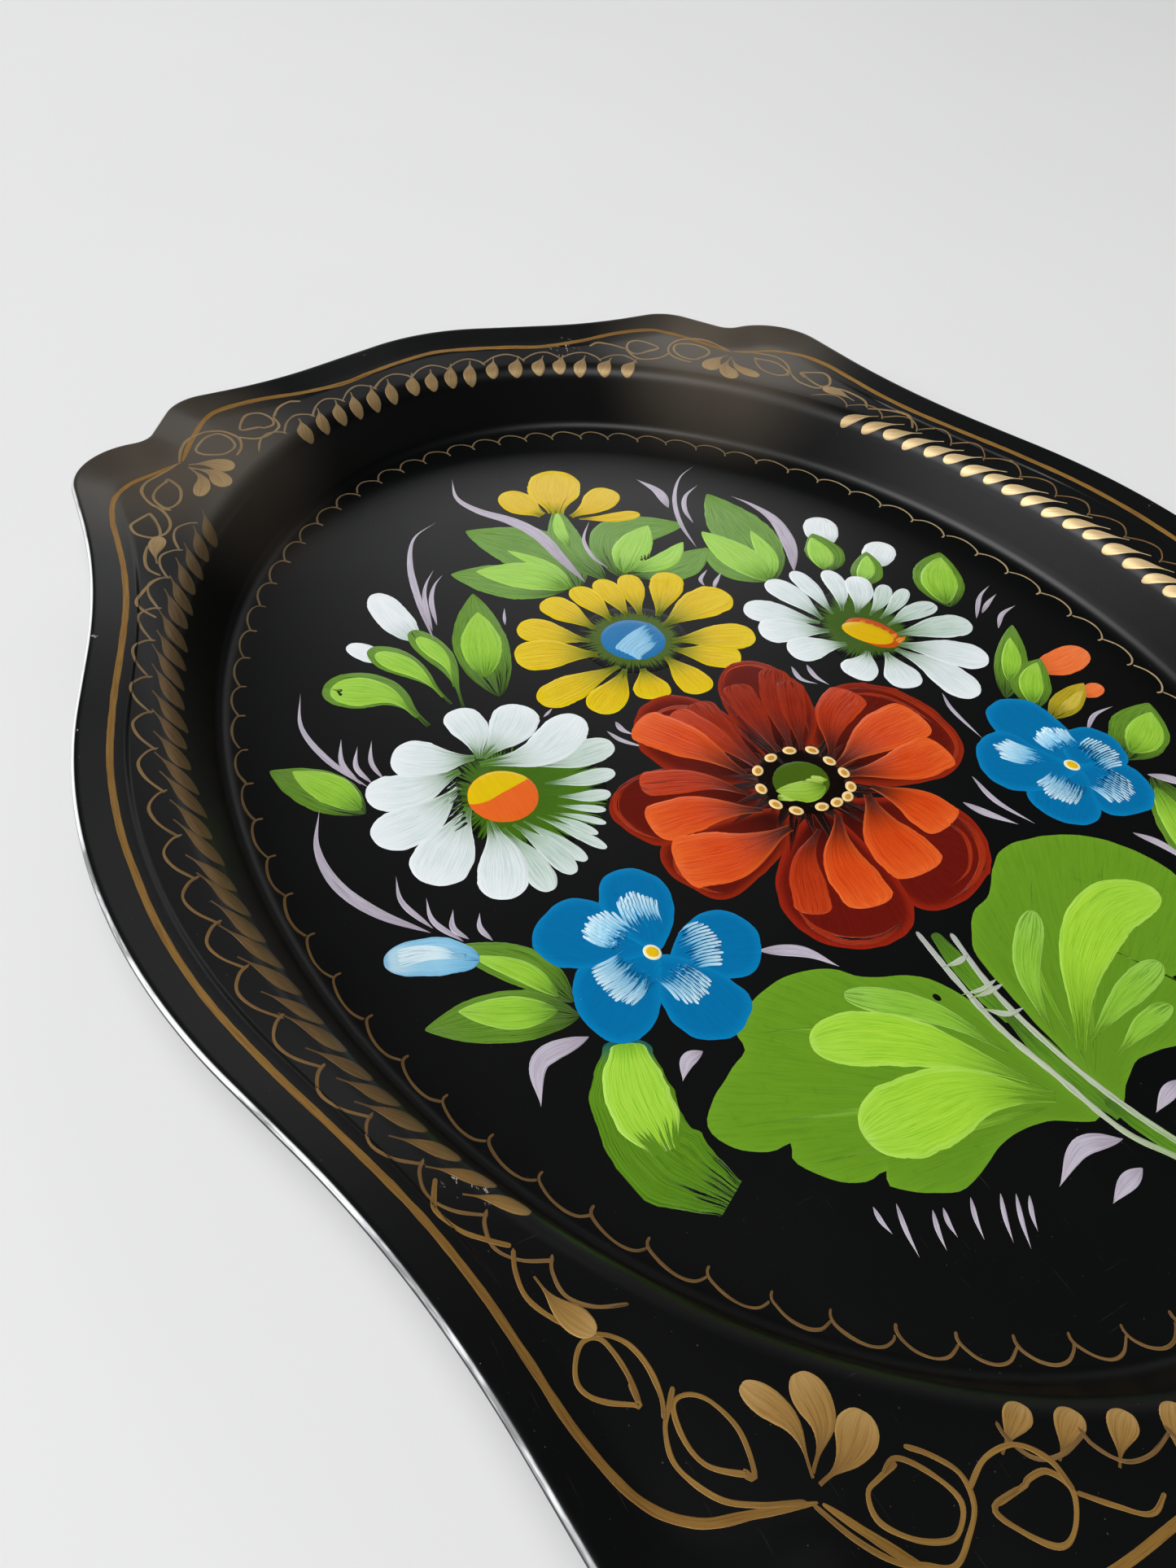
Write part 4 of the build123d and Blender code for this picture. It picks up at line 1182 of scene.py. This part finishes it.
# lilac stems, curls and twigs
def paintLilac():
    canvas = newCanvas(30)
    lilac = brushOf(
        (190, 182, 196), (168, 158, 172), tip=(200, 190, 202), load=(0.75, 1, 0.6), thick=0.07)
    stem = brushOf(
        (184, 194, 170), (178, 184, 176), tip=(146, 170, 116), load=(0.9, 0.78, 0.6), thick=0.09,
        under=(106, 150, 50), wobble=0.35)
    strokeAll(canvas, "line", stem, [
        (1.7, (86.5, 5), (105, 2.3), (125, 3.3), (142, 6.5), (156, 11), (166, 16)),
        (1.6, (82, -2.7), (100, -4), (115, -4), (130, -1.5), (147, 1.5), (157, 7), (166, 13))])
    strokeAll(canvas, "lash", stem, [
        (1.5, (94, 4), (94.5, 0), (94, -4.5)), (1.4, (103, 5.5), (103.6, 0), (102.5, -6.5)),
        (1.4, (104.8, 6), (105, 0), (104.2, -5)), (1.6, (112.5, 5.5), (112, 0.5), (107.5, -4.5))])
    curls = [
        (5.4, (-87, -4.5), (-104, -5), (-119, -5.5), (-131, -10), (-142, -18), (-153, -21.5),
         (-166, -17.5)),
        (1.9, (-89, 42.5), (-105, 46), (-120, 53), (-132, 63), (-137.5, 73)),
        (2.0, (-103, 50.3), (-112, 52.5), (-120, 58), (-125, 67)),
        (4.2, (-115.5, 47.5), (-127, 50), (-138, 47)),
        (1.6, (-91, 7), (-99, 5.5), (-110, 8), (-120, 16)),
        (5.5, (-62, 66), (-76, 74.5), (-92, 79.5), (-104, 78), (-113, 74)),
        (1.5, (-68, 32), (-72, 33), (-76, 38.5)), (1.7, (-65, 34), (-68, 36.5), (-72.5, 42)),
        (2.5, (-80, -64), (-100, -60), (-120, -54.5), (-135, -46.5), (-141.5, -35)),
        (1.7, (-84, -62.5), (-100, -58), (-108, -54), (-115, -48)),
        (1.8, (-86, -60), (-98, -56.5), (-106, -52), (-111, -46.5)),
        (1.1, (-77, -40), (-81, -38.3), (-85.5, -36)),
        (2.0, (-27, -107.5), (-42, -113.5), (-58, -115.5), (-73, -110.5)),
        (1.8, (-29, -109), (-39, -110.5), (-49, -107)), (1.7, (-28, -106), (-36, -107.5), (-44, -104)),
        (1.5, (-28, -102.5), (-36, -103), (-44.5, -99.5)),
        (3.4, (27, -113), (15, -122.5), (2, -128), (-12, -128), (-25, -122.5)),
        (1.7, (26, -112), (15, -115.5), (6, -113.5)), (1.7, (33, -107), (24, -111), (16, -109.5)),
        (1.7, (33, -105.5), (28, -107.5), (22.5, -105)),
        (1.6, (36, -100.5), (31, -101.5), (26.5, -99.5)), (5.2, (71, -93), (71.5, -106), (82, -111.5)),
        (3.6, (86.5, -71.5), (87, -76), (91, -80)), (3.8, (68.5, -43), (74, -33), (82, -27.5)),
        (4.6, (149, 0), (146, -10), (150.5, -21.5)), (3.9, (156, -1.5), (157, -8), (158.8, -14)),
        (3.6, (144.5, 24), (146, 18), (148, 12)), (3.4, (158, 27), (160, 21), (161, 15)),
        (1.6, (46, 98), (41.5, 106), (41, 115)), (3.4, (68, 100), (74, 106), (82, 110)),
        (2.7, (83, 77), (90, 81), (100, 83)), (1.9, (45, 51), (56, 50.2), (68, 54)),
        (2.8, (52, 41), (58, 44), (66, 49.5)), (1.5, (12, 69), (20, 66.3), (34, 65.6)),
        (1.9, (-18, 38), (-12, 37), (-6.5, 38.5)), (1.7, (-19.5, 33), (-13, 32), (-8.5, 35.5)),
        (1.9, (-21, -31.5), (-17, -31.5), (-13.5, -29.5)), (1.6, (-18.5, -36), (-13, -34), (-7, -29)),
        (1.7, (-13, 107), (-22, 117), (-26, 125.5)), (1.8, (-14.5, 111), (-18, 117), (-21, 124)),
        (1.8, (-5.5, 110), (-11, 117), (-13, 125.5)), (1.0, (-32, -50), (-33, -48), (-34.5, -45.5))]
    strokeAll(canvas, "lash", lilac, curls)
    ticks = [
        ((148.7, -28.7), (155.6, -33)), ((147, -31), (157.7, -37)), ((145.4, -34), (155, -39.4)),
        ((143, -40.4), (151.6, -44.4)), ((142, -47.3), (148.5, -49)), ((141.3, -49.6), (149.6, -53)),
        ((136.5, -55.6), (148, -59)), ((134.8, -60.5), (141.6, -60.7))]
    for (x1, y1), (x2, y2) in ticks:
        brushStroke(canvas, "lash", lilac, 1.15, [
            (x1, y1), ((x1 + x2) / 2, (y1 + y2) / 2 - 0.4), (x2, y2)])
        # the far half of the bouquet answers the near one
        brushStroke(canvas, "lash", lilac, 1.15, [
            (x1, -y1), ((x1 + x2) / 2 + 0.3, -(y1 + y2) / 2), (x2 + 0.5, -y2 + 1)])
    hangUp(canvas, "lilacCurls", "lilac_paint", "lilac_curls")


# in the painter's order
paintBuds()
paintLeaves()
paintLilac()
paintYellow()
paintBlue()
paintDaisies()
paintPoppy()


# gold lines and garland
def paintGold():
    gold = brushOf((150, 112, 52), (144, 106, 50), tip=(150, 112, 52), load=(1.1, 1.1, 1.1), thick=0.03,
                   under=(60, 46, 26), wobble=0.16)
    fine = brushOf((138, 106, 62), (124, 94, 56), tip=(128, 98, 58), load=(0.8, 0.8, 0.6), thick=0.02,
                   under=(54, 42, 26), wobble=0.35)
    quadrants = ((1, 1), (-1, 1), (-1, -1), (1, -1))

    def goldAt(brush, x, y=0.0):
        # the bronze is rubbed greyer toward the far end, and carries a painted highlight along the far
        # side, paler where that wall faces the light
        grey = smooth(20, -150, x) * 0.55 if x < 20 else 0.0
        pale = 0.7 * smooth(40, 120, y) * smooth(-150, -70, x)
        found = dict(brush)
        for key in ("body", "root", "tip"):
            rubbedAndLit = blendTone(brush[key], tone(150, 134, 106), grey)
            found[key] = blendTone(rubbedAndLit, tone(222, 198, 152), pale)
        return found

    # the line at the foot of the border runs to a sharp point at each notch
    canvas = newCanvas(40)
    sideRun = [(175.6, 112), (172, 122), (168.5, 131), (161.2, 137.6), (148.5, 141.4), (134.9, 143.1),
               (119.9, 145.1), (102.6, 148.9), (82.9, 155.2), (61.3, 162.7), (39, 169), (17.7, 172.2)]
    endRun = [
        (175.6, 112), (184, 107.5), (192.8, 102.2), (200.5, 96.5), (203.8, 90), (205.5, 75.8),
        (205.9, 58.5), (208, 42.4), (212.6, 28.2), (216.5, 14.2)]
    rimLine = {"width": 1.7, "endCrown": 218.6, "sideCrown": 172.8}
    for sx in (1, -1):
        run = [(sx * x, y) for x, y in endRun] + [(sx * rimLine["endCrown"], 0)]
        run += [(sx * x, -y) for x, y in reversed(endRun)]
        brushStroke(canvas, "line", gold, rimLine["width"], run)
    for sy in (1, -1):
        run = [(x, sy * y) for x, y in sideRun] + [(0, sy * rimLine["sideCrown"])]
        run += [(-x, sy * y) for x, y in reversed(sideRun)]
        brushStroke(canvas, "line", gold, rimLine["width"], run)
    hangUp(canvas, "goldRimLine", "gold_paint", "gold_rim_line")

    # arches round the floor, each drawn with one touch that starts in a small spur
    canvas = newCanvas(41)
    scallops = {"arches": 80, "ovalA": 188.6, "ovalB": 142.6, "width": 0.68}
    arches, chance = scallops["arches"], canvas["chance"]
    for k in range(arches):
        turn = 2 * pi * k / arches

        def at(share, out, spur=0.0):
            t = 2 * pi * (k + share) / arches
            return ((scallops["ovalA"] + out * 1.1 - spur) * cos(t),
                    (scallops["ovalB"] + out * shallow - spur) * sin(t))

        bow = 1 + chance.uniform(-0.12, 0.12)
        shallow = 0.85 - 0.33 * smooth(0.2, 0.7, -sin(turn))
        slip = chance.uniform(-0.03, 0.03)
        brushStroke(canvas, "line", goldAt(fine, 188 * cos(turn), 142 * sin(turn)), scallops["width"], [
            at(0.01 + slip, -4.0, 2.2), at(0.0 + slip, -4.2, 0.3), at(0.06 + slip, -2.8 * bow),
            at(0.25, -0.9 * bow), at(0.5, -0.1), at(0.75, -0.8 * bow), at(0.95, -2.9 * bow),
            at(1.01 + slip, -4.0)])
    hangUp(canvas, "goldScallopLine", "gold_paint", "gold_scallop_line")

    # garland: drops with their heads down on the wall, and a vine of small bows outside them
    canvas = newCanvas(42)
    garland = {
        # runs in degrees round the oval, then millimetres; out is measured from the foot of the wall
        "runs": [(-27, 25), (54, 126), (155, 208), (229, 306)], "pitch": 8.8, "headOut": 11.6,
        "tailOut": 18.2, "nearHeadOut": 2.6, "nearTailOut": 3.2, "lean": 10.5, "width": 5.4,
        "vinePitch": 15.0, "vineWidth": 0.75,
        # share of the pitch and distance out of the points of one bow
        "bow": ((0.0, 17.4), (0.1, 20.4), (0.36, 22.9), (0.7, 21.9), (1.08, 18.2)),
    }

    def onRim(angle, out):
        return ((pan["wellA"] + out) * cos(angle), (pan["wellB"] + out) * sin(angle))

    def gait(angle, out=14):
        return hypot((pan["wellA"] + out) * sin(angle), (pan["wellB"] + out) * cos(angle))

    chance = canvas["chance"]
    drop = brushOf((176, 136, 74), (124, 92, 46), tip=(196, 158, 96), load=(0.7, 1, 0.95), thick=0.07,
                   under=(44, 34, 18), rootEnd=0.7)
    for first, last in garland["runs"]:
        angle = radians(first)
        while angle < radians(last):
            step = 1 / gait(angle)
            # the drops stand more upright at the two ends of the tray
            ends = abs(cos(angle)) ** 3
            along = smooth(0.55, 0.8, abs(sin(angle)))
            lean = (garland["lean"] - 6.0 * ends + 4.0 * along) * step * chance.uniform(0.85, 1.1)
            tailOut = garland["tailOut"] + 3.0 * ends + chance.uniform(-0.6, 0.6)
            headOut = garland["headOut"]
            if cos(angle) > 0.8:
                # past the lip at the near end, so that the heads lie on the flange
                headOut, tailOut = headOut + garland["nearHeadOut"], tailOut + garland["nearTailOut"]
            across = 1 - 0.2 * smooth(0.5, 0.8, sin(angle))
            head = onRim(angle, headOut + chance.uniform(-0.7, 0.7))
            waist = onRim(angle - lean * 0.42, headOut + (tailOut - headOut) * 0.36)
            tail = onRim(angle - lean, tailOut)
            # painted shade: darker along the near side, where the wall faces away from the light
            near = 0.75 * smooth(0.35, 0.8, -sin(angle)) * smooth(0, 40, 120 - head[0])
            shaded = goldAt(drop, *head)
            shaded.update({
                key: blendTone(shaded[key], tone(84, 66, 42), near) for key in ("body", "root", "tip")})
            brushStroke(
                canvas, "drop", shaded,
                (garland["width"] - 1.1 * along) * across * chance.uniform(0.88, 1.1),
                [tail, waist, head])
            angle += garland["pitch"] * step * chance.uniform(0.92, 1.08)
    hangUp(canvas, "garlandDrops", "gold_paint")

    canvas = newCanvas(43)
    chance = canvas["chance"]
    for first, last in garland["runs"]:
        angle = radians(first) - 6 / gait(radians(first))
        while angle < radians(last):
            step = garland["vinePitch"] / gait(angle) * chance.uniform(0.92, 1.08)
            bowWidth = garland["vineWidth"] - 0.2 * smooth(0.3, 0.7, sin(angle))
            brushStroke(canvas, "line", goldAt(fine, 190 * cos(angle)), bowWidth, [
                onRim(angle + step * share, out) for share, out in garland["bow"]])
            angle += step
    # knots of leaf-shaped loops and three drops at each notch
    loopBrush = brushOf(
        (158, 120, 60), (136, 102, 52), tip=(146, 110, 56), load=(0.9, 0.95, 0.8), thick=0.03,
        under=(60, 46, 26), wobble=0.3)
    loops = [
        [(165.6, -120.6), (167.4, -119), (161, -117), (155, -118.5), (151.7, -121.8), (152.3, -125),
         (157.5, -126.2), (162.5, -124.6), (167, -119.6)],
        [(175, -113.7), (173, -117.5), (171.2, -121.2), (168, -125.6), (163.7, -128.5), (159.4, -129),
         (155, -127.9), (152, -125.6), (149.6, -122.8)],
        [(149.8, -129.8), (145, -129.1), (140, -129.4), (136.9, -130.6), (136.3, -133.1), (138.1, -136),
         (141.2, -137.3), (144.4, -136.9), (146.9, -134.4), (149, -130.4)],
        [(153.7, -127.5), (150, -125.7), (145, -125), (140.6, -126), (137.5, -128.1), (135.7, -130.9)],
        [(96.2, -142.5), (100, -145), (103.7, -145.6), (108.7, -143.1), (112.5, -139.4), (115, -136.2)],
        [(115.6, -136), (120, -138.1), (125, -138.1), (131.2, -135.6), (134.6, -131.8)],
        [(177.4, -101), (176.8, -96.6), (180.9, -92.7), (186.2, -92), (189.8, -95), (189.4, -98.9),
         (186.2, -102.5), (181.9, -105.2), (178.4, -104.4)],
        [(175.4, -113.2), (182.5, -110.5), (188, -107), (190.8, -103.1), (192.5, -98.7), (191.2, -93.7),
         (187.5, -90.4), (183.7, -89.2), (178.7, -91), (175, -94.2)],
        [(189.9, -80.6), (190.2, -87.2), (195, -85.8), (199, -81.9), (198.2, -77.8), (194.4, -74.7),
         (190.4, -75.5), (189.3, -79.6)],
        [(194.8, -73.9), (188.7, -74.2), (184.8, -77.5), (183.5, -83.7), (185.8, -89.8)],
        [(194.5, -74), (199.5, -70), (202.5, -65.5), (201.5, -61)]]
    fan = [
        (7.6, (173.6, -110.6), (172.4, -103.5), (168, -96.6)),
        (7.0, (171.8, -110.5), (166.4, -104.2), (157.6, -102.8)),
        (5.4, (172.3, -110.8), (164, -108.8), (154.6, -112.7)),
        (5.0, (122, -135.2), (129, -133.8), (136, -130.4))]
    for sx, sy in quadrants:
        for loop in loops:
            if (Vector(loop[0]) - Vector(loop[-1])).length < 5.0:
                loop = loop + loop[:2]
            shaken = [
                (sx * (x + chance.uniform(-0.4, 0.4)), -sy * (y + chance.uniform(-0.4, 0.4))) for x,
                y in loop]
            brushStroke(canvas, "line", goldAt(loopBrush, shaken[0][0]), 0.95, shaken)
        for width, *points in fan:
            brushStroke(
                canvas, "drop", goldAt(drop, sx * 150), width, [(sx * x, -sy * y) for x, y in points])
    hangUp(canvas, "garlandVine", "gold_paint")


paintGold()


# stage
def buildStage():
    shot = {"place": (196.88, -182.01, 233.56 + floorTop), "yaw": 56.769, "pitch": 45.444, "roll": 5.095,
            "lens": 36.125}
    camera = bpy.data.cameras.new("camera")
    camera.sensor_fit = "HORIZONTAL"
    camera.sensor_width = 36.0
    camera.lens = shot["lens"]
    camera.clip_start = 0.01
    holder = bpy.data.objects.new("camera", camera)
    bpy.context.scene.collection.objects.link(holder)
    turn = Matrix.Identity(4)
    for key, axis in (("yaw", "Z"), ("pitch", "X"), ("roll", "Z")):
        turn = turn @ Matrix.Rotation(radians(shot[key]), 4, axis)
    holder.matrix_world = Matrix.Translation(Vector(shot["place"]) * mm) @ turn
    bpy.context.scene.camera = holder

    reach, gap = 6000, 0.2
    ground = meshFrom(
        "table", [(-reach, -reach, 0), (reach, -reach, 0), (reach, reach, 0), (-reach, reach, 0)],
        [(0, 1, 2, 3)])
    ground.location.z = -gap * mm
    mat, tree, shader = newMaterial("paleTable")
    place = addNode(tree, "ShaderNodeTexCoord").outputs["Object"]
    cloud = addNoise(tree, place, 3.0, 3.0, 0.5)
    wire(
        tree, mixColour(tree, cloud, (0.80, 0.80, 0.805), (0.84, 0.84, 0.84)),
        shader.inputs["Base Color"])
    shader.inputs["Roughness"].default_value = 0.8
    ground.data.materials.append(mat)

    world = bpy.data.worlds.new("studio")
    bpy.context.scene.world = world
    world.use_nodes = True
    sky = world.node_tree
    way = addNode(sky, "ShaderNodeSeparateXYZ")
    wire(sky, addNode(sky, "ShaderNodeTexCoord").outputs["Generated"], way.inputs[0])
    # pale along the horizon and dark above it, so that the lacquer stays black
    glow = addRamp(sky, way.outputs["Z"], [(0.0, (0.62, 0.62, 0.63)), (0.06, (0.5, 0.5, 0.51)),
                                           (0.24, (0.034, 0.034, 0.036)), (1.0, (0.02, 0.02, 0.022))])
    wire(sky, glow, sky.nodes["Background"].inputs["Color"])
    lamps = [
        # place, aim, width, height, power, all in metres and watts
        ("windowBox", (-2.0, -5.6, 4.8), (0, 0, 0.0), 4.4, 4.4, 530.0),
        ("topBox", (2.2, -1.2, 6.6), (0, 0, 0.0), 3.4, 3.4, 215.0),
        ("sheenBox", (-5.1, 3.0, 2.9), (0, 0, 0.0), 3.0, 1.9, 34.0),
    ]
    for name, spot, aim, wide, high, power in lamps:
        lamp = bpy.data.lights.new(name, "AREA")
        lamp.shape = "RECTANGLE"
        lamp.size, lamp.size_y, lamp.energy = wide, high, power
        box = bpy.data.objects.new(name, lamp)
        bpy.context.scene.collection.objects.link(box)
        box.location = spot
        box.rotation_euler = (Vector(aim) - Vector(spot)).to_track_quat("-Z", "Y").to_euler()
    bpy.context.scene.view_settings.view_transform = "Standard"
    print("stage set")


buildStage()
